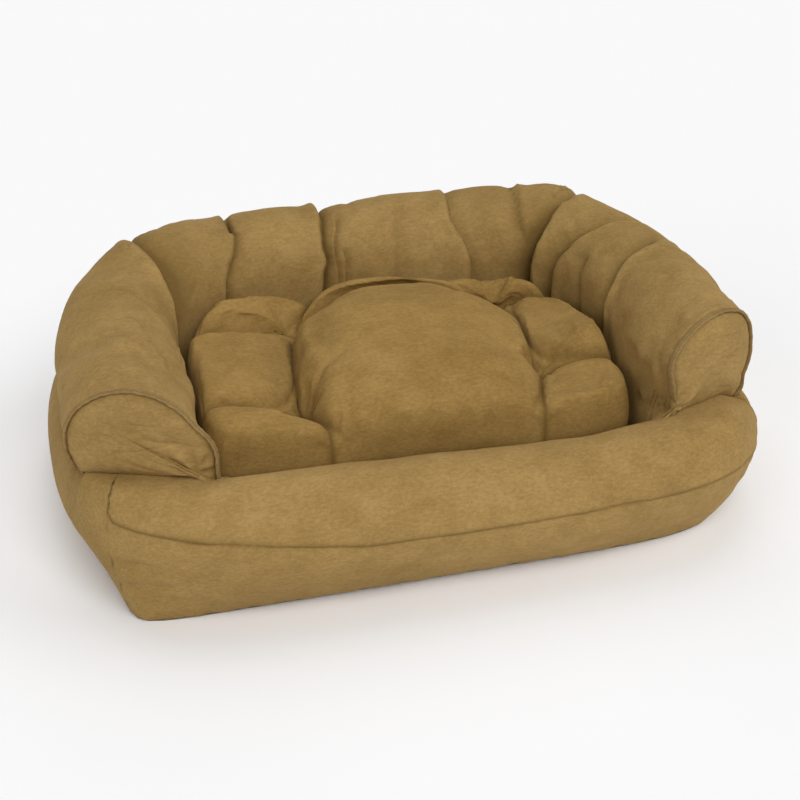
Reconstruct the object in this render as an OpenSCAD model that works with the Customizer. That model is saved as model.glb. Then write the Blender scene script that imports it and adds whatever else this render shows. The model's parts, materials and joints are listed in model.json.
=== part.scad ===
// Sofa-shaped dog bed: a stuffed base ring with a front rail, a U-shaped bolster of two arms and a back
// that rests on it, and a loose tufted seat cushion that lifts out of the well. Millimetres, +Z up,
// the front faces -Y, and the origin is on the floor under the middle of the bed.

/* [Overall] */
// Width over the fullest part of the base
body_w = 1016; // [860:1:1200]
// Depth over the fullest part of the base
body_d = 770; // [680:1:900]
// Height of the top of the bolster above the floor
body_h = 325; // [300:1:390]

/* [Base ring] */
// Height of the crest of the front rail
rail_h = 200; // [180:1:215]
// Thickness of the front rail from front to back at the well
rail_t = 134; // [115:1:165]
// Height at which the base is fullest, where the front seam runs
bulge_h = 120; // [100:1:135]
// How far the outline on the floor is drawn in from the fullest outline
foot_inset = 64; // [35:1:80]
// Roundness exponent of the front corners of the fullest outline, where 2 is an ellipse
full_n = 4.2; // [3.6:0.1:5.4]
// Roundness exponent of the front corners of the outline on the floor
foot_n = 7.5; // [5:0.5:10]
// Roundness exponent of the rear corners of the base
rear_n = 3.2; // [2.8:0.1:4]
// How far the widest part of the base lies in front of the middle of the bed
full_forward = 47; // [20:1:70]
// Angle of the upright seam where the front rail panel ends, seen from the widest part
rail_end = 22; // [20:0.5:25]

/* [Bolster] */
// Width of the bolster from the well to its outer flank
bolster_w = 188; // [170:1:205]
// Height from the middle of the bolster to its top
bolster_rise = 86; // [70:1:95]
// How far the outer flank of the bolster stays inside the fullest outline at the arms
arm_setback = 6; // [2:1:20]
// How far the outer flank of the bolster stays inside the fullest outline at the back
back_setback = 30; // [12:1:45]
// How far the widest part of the bolster lies in front of the middle of the bed
path_forward = 64; // [40:1:80]
// Roundness exponent of the back of the bolster's middle line
back_n = 3; // [2.6:0.1:3.6]
// Roundness exponent of the middle line of the arms
arm_n = 5.2; // [4.5:0.1:7]
// Distance of the end of each arm's middle line in front of the bed's middle
arm_reach = 253; // [235:1:275]
// Angle by which the end of each arm is turned outward
cap_turn = 22; // [8:1:26]
// Angle below the middle of the bolster at which its outer side is sewn to the base
waist_angle = 42; // [30:1:48]
// Depth of the sewn tucks across the bolster
tuck_depth = 9; // [3:0.5:14]
// How far each arm's end panel is puffed out
cap_puff = 16; // [6:1:24]
// Radius of the topstitched welt round each end panel
welt_r = 2.6; // [1.8:0.1:4]

/* [Covers and padding] */
// Thickness of the suede cover with its backing
fabric = 2; // [1.4:0.1:2.6]
// Thickness of the pad under the well
pad_h = 38; // [28:1:48]
// How far the pad stays inside the outline on the floor
pad_inset = 14; // [10:1:20]
// Gap between pieces that are sewn or rest together
seam_gap = 0.3; // [0.2:0.1:0.6]
// Gap between the fibre fill and the cover round it
fill_gap = 3; // [2:0.5:6]

/* [Seat cushion] */
// Gap between the cushion and the walls of the well
cushion_gap = 3; // [2:0.5:6]
// Height of the cushion's edge seam above its underside
cushion_seam = 52; // [42:1:60]
// Height of the sewn channels above the edge seam
channel_rise = 76; // [55:1:85]
// Height of the puffs of the border above the channels
border_puff = 76; // [50:1:85]
// Height of the puff in the middle above the channels
centre_puff = 94; // [78:1:104]
// Width of the middle chamber, between the tufts
centre_w = 360; // [300:1:400]
// Distance from the front tufts to the rear tufts
tuft_span = 235; // [190:1:270]
// How far the rear tufts lie behind the middle of the cushion
tuft_back = 127; // [105:1:145]
// How far the cushion's sides are drawn in between its corners
cushion_draw = 6; // [4:0.5:10]
// How square the cushion's front corners are
cushion_n = 9; // [6:0.5:12]
// Diameter of the tie that holds each tuft
tie_d = 2.4; // [1.6:0.1:4]

/* [Zip fastener] */
// Length of the zip
zip_l = 340; // [280:1:400]
// Width of one zip tape
tape_w = 13; // [11:0.5:16]
// Thickness of a zip tape
tape_t = 0.8; // [0.6:0.1:1]
// Width of one half of the chain
chain_w = 2.6; // [2:0.1:3.4]
// Thickness of the chain
chain_t = 1.8; // [1.4:0.1:2.4]
// Distance from one tooth to the next
tooth_pitch = 6; // [4:0.5:8]
// Slot between the two halves of the chain
chain_slot = 1.2; // [1:0.1:1.6]
// Length of a slider
slider_l = 13; // [11:0.5:16]
// Thickness of a slider's plates
slider_t = 1; // [0.8:0.1:1.3]
// Length of a pull tab from its pivot
pull_l = 26; // [20:1:32]
// Width of a pull tab
pull_w = 6; // [5:0.5:7]
// Radius of the pivot bar of a pull tab
pivot_r = 0.8; // [0.7:0.05:1]

/* [Hidden] */
// Half sizes of the outlines. The back reaches further so that the zip's hollow doesn't take it off the middle.
full_a = body_w / 2;
full_b = body_d / 2;
zip_valley = 10;
rear_b = full_b + full_forward + 0.8 * zip_valley;

// The bolster's middle line is half a superellipse behind the middle and a longer one in front of it
bolster_r = bolster_w / 2;
path_a = full_a - arm_setback - bolster_r;
path_back = full_b - back_setback - bolster_r;
path_front = 1.7 * arm_reach;
bolster_z = body_h - bolster_rise;
waist_z = bolster_z - bolster_rise * sin(waist_angle);
end_y = (arm_reach - path_forward) / (path_front - path_forward);
arm_end = -atan((arm_reach - path_forward) / (path_a * pow(1 - pow(end_y, arm_n), 1 / arm_n)));

// Levels of the base, from the floor up
lining_z = fabric + 2 * seam_gap + pad_h;
deck_z = lining_z + fabric;
well_floor = deck_z + seam_gap;
well_front = full_b - rail_t;
well_back = path_back - bolster_r;
rail_top = rail_h + seam_gap;

// Tucks across the bolster, as polar angles, and the pieces that it is sewn from
corner_from = 41;
corner_to = 63;
mid_tuck = 97;
tucks = [-90, corner_from, corner_to, mid_tuck, 180 - corner_to, 180 - corner_from, 270];
side_seam = 50;

// How far behind the rail the arm's cover turns down to the well
rail_clear = 6;

// Counts of points
arm_steps = 13;
corner_steps = 5;
back_steps = 12;
section_steps = 9;
rail_steps = 8;
front_steps = 16;
outline_steps = 72;
cushion_rim = 44;
thread_sides = 6;

// The seat cushion fills the well
seat_a = path_a - bolster_r - cushion_gap;
seat_b = (well_front + well_back) / 2 - cushion_gap;
seat_y = (well_back - well_front) / 2;
seat_z = well_floor + cushion_seam;
channel_u = centre_w / 2 / seat_a;
channel_back = tuft_back / seat_b;
channel_front = (tuft_back - tuft_span) / seat_b;

// Zips: heights above the inner face of the tape
zip_gap = 0.2;
chain_top = tape_t + chain_t;
plate_z = chain_top + zip_gap;
pivot_z = plate_z + slider_t + pivot_r + 1.1;
pivot_fit = 0.07;
stop_l = 3;
lug_t = 1;
mouth = tape_w - 1;
tape_set = 2.9;
tape_tail = 16;
tab_t = 1.2;
tape_end = zip_l / 2 + tape_tail;
zip_back = rear_b * pow(1 - pow(tape_end / full_a, rear_n), 1 / rear_n);
zip_y = zip_back - full_forward - zip_valley - fabric - tape_t - tape_set;
zip_at = [0, zip_y, bulge_h];
slider_at = [zip_l / 2 - 2 * stop_l - slider_l / 2 - 1, zip_y, bulge_h];

// Colours
suede = [0.62, 0.51, 0.30];
suede_dark = [0.50, 0.40, 0.23];
lining_colour = [0.55, 0.46, 0.30];
fibre = [0.93, 0.93, 0.90];
zip_tape = [0.42, 0.35, 0.22];
nickel = [0.72, 0.72, 0.70];

// General functions
function mix(a, b, k) = a + (b - a) * k;
function steps(from, to, count) = [for (i = [0:count]) mix(from, to, i / count)];
function mirrored(angles) = [for (i = [len(angles) - 1:-1:0]) 180 - angles[i]];
function unit(v) = v / norm(v);
function clamp(x, low, high) = min(max(x, low), high);
function smooth(x) = let (t = clamp(x, 0, 1)) t * t * (3 - 2 * t);

// A point of a superellipse at an angle seen from its middle, which lies on the widest line
function oval(a, b, n, angle) =
    pow(pow(abs(cos(angle)) / a, n) + pow(abs(sin(angle)) / b, n), -1 / n) * [cos(angle), sin(angle)];
function base_outline(inset, n, angle) =
    (sin(angle) > 0
        ? oval(full_a - inset, rear_b - inset, rear_n, angle)
        : oval(full_a - inset, full_b - full_forward - inset, n, angle)) - [0, full_forward];

// The bolster's middle line, its outward normal, and the direction across its section
function path_half(angle) = sin(angle) > 0 ? path_back + path_forward : path_front - path_forward;
function path_n(angle) = sin(angle) > 0 ? back_n : arm_n;
function path(angle) = oval(path_a, path_half(angle), path_n(angle), angle) - [0, path_forward];
function path_normal(angle) =
    let (p = path(angle) + [0, path_forward], b = path_half(angle), n = path_n(angle) - 1)
    unit([sign(p.x) * pow(abs(p.x) / path_a, n) / path_a, sign(p.y) * pow(abs(p.y) / b, n) / b]);
turn_span = 26;
function cap_share(angle) =
    let (toward = cos(angle) < 0 ? 180 - angle : angle)
    smooth(1 - (toward - arm_end) / turn_span);
function across(angle) =
    let (
        n = path_normal(angle),
        side = cos(angle) < 0 ? -1 : 1,
        turned = [side * cos(cap_turn), sin(cap_turn)]
    )
    unit(mix(n, turned, cap_share(angle)));

// How far a station is pulled in by the tucks on either side of it
function tuck_after(angle, i = 0) = tucks[i + 1] > angle ? i : tuck_after(angle, i + 1);
function pinch(angle) =
    let (i = tuck_after(angle), s = (angle - tucks[i]) / (tucks[i + 1] - tucks[i]))
    tuck_depth * (1 - pow(sin(180 * clamp(s, 0.001, 0.999)), 0.4));

// A point of the bolster's skin: place is the horizontal and upright offset in its section
function bolster_at(angle, place) = let (c = path(angle) + across(angle) * place.x) [c.x, c.y, place.y];
function flank(angle, inset) = bolster_r - pinch(angle) - inset;
function section(angle, inset, low) =
    let (r = flank(angle, inset), rise = bolster_rise - pinch(angle) / 2 - inset)
    concat(
        [[-r, low], [-r, mix(low, bolster_z, 0.5)]],
        [for (a = steps(180, -waist_angle, section_steps)) [r * cos(a), bolster_z + rise * sin(a)]]
    );
function waist(angle, inset = 0) =
    bolster_at(angle, [flank(angle, inset) * cos(waist_angle), waist_z]);

// The section's lower edge on the well side: the deck behind the front rail, and the rail's crest over it
function inner_y(angle) = bolster_at(angle, [-bolster_r, 0]).y;
function over_rail(angle) = inner_y(angle) < rail_clear - well_front;
function sleeve_low(angle) = over_rail(angle) ? rail_top : well_floor;
function sleeve_row(angle, inset) =
    [for (p = section(angle, inset, sleeve_low(angle))) bolster_at(angle, p)];

// Stations of the right arm, with two close together where its lower edge steps up onto the rail
function notch(low, high, i = 0) =
    let (m = (low + high) / 2) i > 24 ? m : over_rail(m) ? notch(m, high, i + 1) : notch(low, m, i + 1);
notch_angle = notch(arm_end, 0);
step_angle = 0.15;
right_arm = concat(
    steps(arm_end, notch_angle - step_angle, 3),
    steps(notch_angle + step_angle, corner_from - step_angle / 4, arm_steps - 2)
);
right_corner = steps(corner_from + step_angle / 4, corner_to - step_angle / 4, corner_steps);
back_span = concat(
    steps(corner_to + step_angle / 4, mid_tuck, back_steps / 2),
    [for (i = [1:back_steps / 2]) mix(mid_tuck, 180 - corner_to - step_angle / 4, i * 2 / back_steps)]
);

// The base's skin at a polar angle and height, and the same under the bolster up to its waist
function low_share(z) = z < bulge_h ? pow((bulge_h - z) / bulge_h, 2) : 0;
function base_at(angle, z, inset = 0) =
    let (
        full = base_outline(0, full_n, angle),
        foot = base_outline(foot_inset, foot_n, angle),
        p = mix(full, foot, low_share(z)) - inset * unit(full + [0, full_forward])
    )
    [p.x, p.y, z];
function polar(p) = let (a = atan2(p.y + full_forward, p.x)) a < -90 ? a + 360 : a;
function side_at(angle, z, inset = 0) =
    let (
        w = waist(angle, inset),
        base = base_at(polar(waist(angle)), min(z, bulge_h), inset),
        k = z > bulge_h ? pow((z - bulge_h) / (waist_z - bulge_h), 2) : 0,
        p = mix(base, w, k)
    )
    [p.x, p.y, z];

// The front rail: its outer foot on the fullest outline, its inner foot at the well, and its arch
under_arm = 34;
tip_drop = 12;
inner_share = 0.92;
rail_tip = inner_share * base_outline(0, full_n, -rail_end).x;
well_edge = bolster_at(notch_angle, [-bolster_r, 0]).x + 3 * fabric;
function under_share(x) = smooth((abs(x) - well_edge) / (rail_tip - well_edge));
function crest(x) = mix(rail_h, waist_z - tip_drop, min(1, 2 * under_share(x)));
function rail_inner(angle) =
    let (x = inner_share * base_outline(0, full_n, angle).x)
    [x, -well_front + under_arm * under_share(x)];
function rail_at(angle, turn, inset = 0) =
    let (
        outer = base_outline(0, full_n, angle),
        inner = rail_inner(angle),
        middle = (outer + inner) / 2,
        reach = (norm(outer - inner) / 2 - inset) * unit(outer - inner),
        p = middle + reach * cos(turn)
    )
    [p.x, p.y, bulge_h + (crest(p.x) - bulge_h - inset) * sin(turn)];
function rail_row(angle, inset, low) =
    let (foot = rail_at(angle, 180, inset))
    concat(
        [for (turn = steps(0, 180, rail_steps)) rail_at(angle, turn, inset)],
        [[foot.x, foot.y, mix(low, bulge_h, 0.5)], [foot.x, foot.y, low]]
    );
rail_angles = [for (t = steps(-1, 1, front_steps)) 270 + (90 - rail_end) * mix(t, sin(90 * t), 0.55)];

// Closed solids made of triangles. A sheet has two grids of the same size, and rings run from one tip to
// the other.
function quad(a, b, c, d) = [[a, b, c], [a, c, d]];
function flat(list) = [for (part = list) for (item = part) item];
module sheet(outer, inner) {
    rows = len(outer);
    cols = len(outer[0]);
    function o(r, c) = r * cols + c;
    function i(r, c) = rows * cols + r * cols + c;
    polyhedron(
        points = concat(flat(outer), flat(inner)),
        faces = flat(concat(
            [for (r = [0:rows - 2], c = [0:cols - 2]) quad(o(r, c), o(r + 1, c), o(r + 1, c + 1), o(r, c + 1))],
            [for (r = [0:rows - 2], c = [0:cols - 2]) quad(i(r, c), i(r, c + 1), i(r + 1, c + 1), i(r + 1, c))],
            [for (c = [0:cols - 2]) quad(o(0, c), o(0, c + 1), i(0, c + 1), i(0, c))],
            [for (c = [0:cols - 2]) quad(o(rows - 1, c + 1), o(rows - 1, c), i(rows - 1, c), i(rows - 1, c + 1))],
            [for (r = [0:rows - 2]) quad(o(r + 1, 0), o(r, 0), i(r, 0), i(r + 1, 0))],
            [for (r = [0:rows - 2]) quad(o(r, cols - 1), o(r + 1, cols - 1), i(r + 1, cols - 1), i(r, cols - 1))]
        ))
    );
}
module rings(loops, first, last) {
    count = len(loops);
    around = len(loops[0]);
    function p(m, n) = 1 + m * around + n % around;
    polyhedron(
        points = concat([first], flat(loops), [last]),
        faces = concat(
            [for (n = [0:around - 1]) [0, p(0, n), p(0, n + 1)]],
            flat([
                for (m = [0:count - 2], n = [0:around - 1])
                    quad(p(m, n), p(m + 1, n), p(m + 1, n + 1), p(m, n + 1))
            ]),
            [for (n = [0:around - 1]) [1 + count * around, p(count - 1, n + 1), p(count - 1, n)]]
        )
    );
}
function centre(points) = [for (i = [0:2]) len(points) == 0 ? 0 : sum([for (p = points) p[i]]) / len(points)];
function sum(list, i = 0) = i < len(list) ? list[i] + sum(list, i + 1) : 0;
module sweep(loops) {
    rings(loops, centre(loops[0]), centre(loops[len(loops) - 1]));
}
module flat_outline(inset, thickness) {
    linear_extrude(thickness)
        polygon([
            for (i = [0:outline_steps - 1])
                base_outline(foot_inset + inset, foot_n, 360 * i / outline_steps)
        ]);
}

// Base: bottom panel, pad and the lining of the well
module bottom_panel() {
    color(suede_dark)
        flat_outline(0, fabric);
}
module base_pad() {
    color(fibre)
        translate([0, 0, fabric + seam_gap])
            flat_outline(pad_inset, pad_h);
}
module well_lining() {
    color(lining_colour)
        translate([0, 0, lining_z])
            flat_outline(pad_inset, fabric);
}

// Covers of the base ring
band_low = fabric + seam_gap;
function band_z(top, k) = mix(band_low, top, k);
band_levels = [0, 0.24, 0.48, 0.75, 1];
function side_column(angle, inset) =
    [for (k = band_levels) side_at(angle, band_z(waist_z - seam_gap, k), inset)];
function front_column(angle, top, inset) =
    [for (k = band_levels) base_at(angle, band_z(top, k), inset)];
end_gap = 0.2;
function end_column(turn, inset) =
    let (tip = rail_at(end_gap - rail_end, turn, inset))
    [for (k = band_levels)
        let (
            z = band_z(tip.z, k),
            base = base_at(end_gap * (1 + turn / 90) - rail_end, min(z, bulge_h), inset),
            s = z > bulge_h + 0.001 ? pow((z - bulge_h) / (tip.z - bulge_h), 2) : 0
        )
        [mix(base.x, tip.x, s), mix(base.y, tip.y, s), z]];
base_angles = concat(right_arm, right_corner);
side_angles = concat([for (a = base_angles) if (a < side_seam - 1) a], [side_seam - step_angle / 2]);
module side_and_front_band() {
    right_side = function (inset) [for (i = [len(side_angles) - 1:-1:0]) side_column(side_angles[i], inset)];
    corner = function (inset) [for (turn = steps(90, 0, 4)) end_column(turn, inset)];
    front = function (inset)
        [for (i = [front_steps:-1:0]) front_column(rail_angles[i], bulge_h - seam_gap, inset)];
    half = function (inset) concat(right_side(inset), corner(inset));
    flip = function (columns) [for (i = [len(columns) - 1:-1:0]) [for (p = columns[i]) [-p.x, p.y, p.z]]];
    grid = function (inset) concat(half(inset), front(inset), flip(half(inset)));
    color(suede)
        sheet(grid(0), grid(fabric));
}
valley_h = 26;
valley_fade = 80;
function valley(p) =
    zip_valley * exp(-pow((p.z - bulge_h) / valley_h, 2))
    * smooth(1 + (tape_end + 2 * tape_w - abs(p.x)) / valley_fade);
function back_column(angle, low, high, inset) =
    [for (k = [0, 0.3, 0.65, 1]) let (p = side_at(angle, mix(low, high, k), inset)) p - [0, valley(p), 0]];
back_angles =
    let (right = concat([side_seam + step_angle / 2], [for (a = right_corner) if (a > side_seam + 1) a]))
    concat(right, back_span, mirrored(right));
mouth_fade = 25;
function back_gap(angle) =
    seam_gap + mouth * smooth(1 + (tape_end + rail_clear / 2 - abs(side_at(angle, bulge_h).x)) / mouth_fade);
module back_upper_panel() {
    grid = function (inset)
        [for (a = back_angles) back_column(a, bulge_h + back_gap(a), waist_z - seam_gap, inset)];
    color(suede)
        sheet(grid(fabric), grid(0));
}
module back_lower_panel() {
    grid = function (inset) [for (a = back_angles) back_column(a, band_low, bulge_h - back_gap(a), inset)];
    color(suede)
        sheet(grid(fabric), grid(0));
}
module front_rail_panel() {
    color(suede)
        sheet(
            [for (a = rail_angles) rail_row(a, fabric, well_floor)],
            [for (a = rail_angles) rail_row(a, 0, well_floor)]
        );
}

// Covers of the bolster
module sleeve(angles) {
    color(suede)
        sheet([for (a = angles) sleeve_row(a, 0)], [for (a = angles) sleeve_row(a, fabric)]);
}
module to_left() {
    mirror([1, 0, 0])
        children();
}
module right_arm_sleeve() {
    sleeve(right_arm);
}
module left_arm_sleeve() {
    to_left()
        right_arm_sleeve();
}
module right_corner_sleeve() {
    sleeve(right_corner);
}
module left_corner_sleeve() {
    to_left()
        right_corner_sleeve();
}
module back_sleeve() {
    sleeve(back_span);
}

// End panel of an arm, puffed out, with its welt
cap_out = [sin(cap_turn), -cos(cap_turn), 0];
cap_low = rail_top + seam_gap;
cap_bottom_steps = 5;
cap_edge =
    let (
        s = section(arm_end, 0, rail_top),
        upper = [for (i = [1:len(s) - 1]) s[i]],
        last = upper[len(upper) - 1].x,
        places = [for (i = [1:cap_bottom_steps]) mix(last, -bolster_r, i / cap_bottom_steps)],
        base = [for (x = places) bolster_at(arm_end, [x, 0])]
    )
    concat(
        [for (p = upper) bolster_at(arm_end, p)],
        [for (p = base) [p.x, p.y, crest(p.x) + 2 * seam_gap]]
    );
cap_middle = bolster_at(arm_end, [0, mix(cap_low, body_h, 0.5)]);
function cap_ring(size, depth) =
    let (out = seam_gap + depth + cap_puff * (1 - pow(size, 2.4)))
    [for (p = cap_edge) mix(cap_middle, p, size) + cap_out * out];
module right_arm_cap() {
    sizes = [0.3, 0.62, 0.86, 0.98];
    color(suede)
        rings(
            concat(
                [for (s = sizes) cap_ring(s, fabric)],
                [for (i = [len(sizes) - 1:-1:0]) cap_ring(sizes[i] - 0.015, 0)]
            ),
            cap_middle + cap_out * (seam_gap + fabric + cap_puff),
            cap_middle + cap_out * (seam_gap + cap_puff)
        );
}
module left_arm_cap() {
    to_left()
        right_arm_cap();
}
module right_cap_welt() {
    r = flank(arm_end, 0);
    lead = cap_out * (welt_r + seam_gap);
    line = [
        for (a = steps(190, 8 - waist_angle, 12))
            lead + bolster_at(arm_end, [r * cos(a), bolster_z + bolster_rise * sin(a)])
    ];
    out = function (i) unit(line[i] - cap_middle);
    shift = welt_r + seam_gap;
    color(suede_dark)
        sweep([
            for (i = [0:len(line) - 1])
                [for (k = [0:thread_sides - 1])
                    let (turn = 360 * k / thread_sides)
                    line[i] + out(i) * (shift + welt_r * cos(turn)) + cap_out * welt_r * sin(turn)]
        ]);
}
module left_cap_welt() {
    to_left()
        right_cap_welt();
}

// Fibre fill of the base ring and the bolster
fill_inset = fabric + fill_gap;
wall_inset = 2.9 * fill_inset;
roll_inset = 1.6 * fill_inset;
wall_top = rail_h - seam_gap;
function wall_ring(angle) =
    let (r = flank(angle, fill_inset), w = well_floor + seam_gap)
    concat(
        [bolster_at(angle, [-r, w]), bolster_at(angle, [-r, wall_top])],
        [for (z = concat([wall_top], [for (i = [3:-1:1]) band_z(waist_z - seam_gap, band_levels[i])], [w]))
            let (p = side_at(angle, z, wall_inset)) p - [0, p.y > 0 ? valley(p) : 0, 0]]
    );
wall_front = notch_angle + 4;
module right_wall_fill() {
    color(fibre)
        sweep([for (a = side_angles) if (a > wall_front) wall_ring(a)]);
}
module left_wall_fill() {
    to_left()
        right_wall_fill();
}
module back_wall_fill() {
    color(fibre)
        sweep([for (a = back_angles) wall_ring(a)]);
}
module front_roll_fill() {
    low = well_floor + seam_gap;
    ring = function (a) concat(
        [for (turn = steps(0, 180, rail_steps)) rail_at(a, turn, fill_inset)],
        [let (p = rail_at(a, 180, fill_inset)) [p.x, p.y, low]],
        [for (z = [low, mix(low, bulge_h, 0.5)]) base_at(a, z, roll_inset)]
    );
    color(fibre)
        sweep([for (i = [front_steps - 2:-1:2]) ring(rail_angles[i])]);
}
function upper_ring(angle) =
    let (s = section(angle, fill_inset, rail_h + seam_gap), w = s[len(s) - 1])
    concat(
        [bolster_at(angle, s[0])],
        [for (i = [2:len(s) - 1]) bolster_at(angle, s[i])],
        [bolster_at(angle, [w.x - fill_gap, rail_h + seam_gap])]
    );
module right_arm_fill() {
    color(fibre)
        sweep([for (i = [1:len(right_arm) - 1]) upper_ring(right_arm[i])]);
}
module left_arm_fill() {
    to_left()
        right_arm_fill();
}
module back_bolster_fill() {
    color(fibre)
        sweep([for (a = concat(right_corner, back_span, mirrored(right_corner))) upper_ring(a)]);
}

// Seat cushion: u and v run from -1 to 1 across it, and its square of u and v is drawn onto its outline
function wall_at(angle) = let (p = bolster_at(angle, [-bolster_r - cushion_gap, 0])) [p.x, p.y - seat_y];
function toward(angle) = let (p = wall_at(angle)) atan2(p.y, p.x);
function find_wall(sight, low, high, i = 0) =
    let (m = (low + high) / 2)
    i > 20 ? m : toward(m) < sight ? find_wall(sight, m, high, i + 1) : find_wall(sight, low, m, i + 1);
function wall_reach(sight) =
    sight < toward(notch_angle)
        ? wall_at(notch_angle).x / cos(sight)
        : norm(wall_at(find_wall(sight, notch_angle, 90)));
function rim_reach(x, y) =
    let (
        sight = atan2(y, abs(x)),
        wall = wall_reach(sight),
        front = y < 0 ? -sin(sight) / seat_b : 0
    )
    pow(pow(wall, -cushion_n) + pow(front, cushion_n), -1 / cushion_n);
function seat_plan(u, v, inset = 0) =
    let (
        s = max(abs(u), abs(v), 0.0001),
        way = unit([u * seat_a, v * seat_b + (u == 0 && v == 0 ? 0.001 : 0)]),
        drawn = cushion_draw * pow(s, 4) * (1 - pow(min(abs(u), abs(v)) / s, 4))
    )
    way * (s * rim_reach(way.x, way.y) - drawn - inset * pow(s, 6)) + [0, seat_y];
dome_power = 0.42;
function dome(x, low, high) =
    x <= low || x >= high ? 0 : pow(4 * (x - low) * (high - x) / pow(high - low, 2), dome_power);
function three(x, low, high) =
    x < low ? dome(x, -1.15, low) : x > high ? dome(x, high, 1.15) : dome(x, low, high);
function two(x, line) = x > line ? dome(x, line, 1.15) : dome(x, -1.3, line);
function inside(u) = smooth((channel_u - abs(u)) / (0.3 * channel_u));
crease = 0.3;
function seat_top(u, v, inset = 0) =
    let (
        edge = pow(max(1 - pow(max(abs(u), abs(v)), 9), 0), dome_power),
        across = three(u, -channel_u, channel_u),
        along = mix(three(v, channel_front, channel_back), two(v, channel_back), inside(u)),
        raised = (mix(crease, 1, across) * mix(crease, 1, along) - crease * crease) / (1 - crease * crease),
        middle = inside(u) * smooth((channel_back - v) / 0.25),
        puff = mix(border_puff, centre_puff, middle)
    )
    seat_z + edge * (channel_rise + puff * raised - 1.5 * inset);
function seat_top_at(u, v, inset) =
    let (p = seat_plan(u, v, inset), rim = max(abs(u), abs(v)) > 0.999 ? seam_gap : 0)
    [p.x, p.y, seat_top(u, v, inset) + rim];
function border_steps(line, count) = [for (i = [0:count]) mix(1, line, pow(i / count, 1.7))];
function cell_steps(low, high, border, middle) =
    let (upper = border_steps(high, border), lower = border_steps(-low, border))
    concat(
        [for (x = lower) -x],
        [for (i = [1:middle - 1]) mix(low, high, i / middle)],
        [for (i = [border:-1:0]) upper[i]]
    );
seat_us = cell_steps(-channel_u, channel_u, 6, 8);
seat_vs = cell_steps(channel_front, channel_back, 6, 6);
module cushion_top_cover() {
    color(suede)
        sheet(
            [for (u = seat_us) [for (v = seat_vs) seat_top_at(u, v, fabric)]],
            [for (u = seat_us) [for (v = seat_vs) seat_top_at(u, v, 0)]]
        );
}
function rim_uv(i) = let (a = 360 * i / cushion_rim, p = [cos(a), sin(a)]) p / max(abs(p.x), abs(p.y));
module cushion_bottom_cover() {
    ring = function (size, drop, inset) [
        for (i = [0:cushion_rim - 1])
            let (q = rim_uv(i) * size, p = seat_plan(q.x, q.y, inset))
            [p.x, p.y, seat_z - drop * (cushion_seam - inset)]
    ];
    color(suede)
        rings(
            [
                ring(0.9, 1, 0), ring(0.97, 0.75, 0), ring(1, 0, 0),
                ring(1, 0, fabric), ring(0.965, 0.75, fabric), ring(0.89, 1, fabric)
            ],
            [0, seat_y, well_floor],
            [0, seat_y, well_floor + fabric]
        );
}
function pocket_at(u, v, k) =
    let (
        p = seat_plan(u, v),
        flat_part = max(abs(u), abs(v)) < 0.86,
        low = flat_part ? well_floor + fabric + seam_gap : seat_z - 0.7 * cushion_seam
    )
    [p.x, p.y, mix(low, seat_top(u, v, 0) - 2 * fill_inset, k)];
module pocket(u0, u1, v0, v1) {
    us = between(seat_us, u0, u1);
    vs = between(seat_vs, v0, v1);
    sheet([for (u = us) [for (v = vs) pocket_at(u, v, 0)]], [for (u = us) [for (v = vs) pocket_at(u, v, 1)]]);
}
pocket_end = 0.96;
function between(list, low, high) = [for (x = list) if (x > low + 0.001 && x < high - 0.001) x];
module cushion_centre_fill() {
    color(fibre)
        pocket(-channel_u, channel_u, -pocket_end, channel_back);
}
module cushion_border_fills() {
    us = [-pocket_end, -channel_u, channel_u, pocket_end];
    vs = [-pocket_end, channel_front, channel_back, pocket_end];
    color(fibre)
        for (i = [0:2], j = [0:2])
            if (i != 1 || j == 2)
                pocket(us[i], us[i + 1], vs[j], vs[j + 1]);
}
module cushion_tuft_ties() {
    low = well_floor + fabric + seam_gap;
    color(suede_dark)
        for (side = [-1, 1], v = [channel_front, channel_back]) {
            p = seat_plan(side * channel_u, v);
            translate([p.x, p.y, low])
                cylinder(d = tie_d, h = seat_z + seat_rise() - fabric - seam_gap - low, $fn = 24);
        }
}
function seat_rise() = seat_top(channel_u, channel_front) - seat_z - fabric;

// Zip fasteners, drawn with X along the zip, Y up and Z out of the tape's inner face, then stood up at the back
module stand(at) {
    translate(at)
        rotate([90, 0, 180])
            children();
}
module zip_tapes() {
    color(zip_tape)
        for (side = [0, 1])
            mirror([0, side, 0])
                translate([-tape_end, chain_slot / 2, 0])
                    cube([2 * tape_end, tape_w, tape_t]);
}
function comb(length, count, y0, y1, y2) = concat(
    [[0, y1]],
    [for (i = [0:count - 1])
        let (x = (i + 0.25) * length / count, w = 0.5 * length / count)
        each [[x, y1], [x, y0], [x + w, y0], [x + w, y1]]],
    [[length, y1], [length, y2], [0, y2]]
);
module zip_chain() {
    length = zip_l - 4 * stop_l - 2 * seam_gap;
    teeth = floor(length / tooth_pitch);
    half_slot = chain_slot / 2;
    color(zip_tape)
        for (side = [0, 1])
            mirror([0, side, 0])
                translate([-length / 2, 0, tape_t])
                    linear_extrude(chain_t)
                        polygon(comb(length, teeth, half_slot, half_slot + chain_w / 2, half_slot + chain_w));
}
module zip_stops() {
    w = chain_slot + 2 * chain_w + 1.2;
    color(nickel)
        for (side = [-1, 1])
            translate([side * (zip_l / 2 - 1.5 * stop_l), 0, tape_t + seam_gap + chain_t / 2])
                cube([stop_l, w, chain_t], center = true);
}
slider_w = chain_slot + 2 * chain_w + 2.4;
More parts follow.
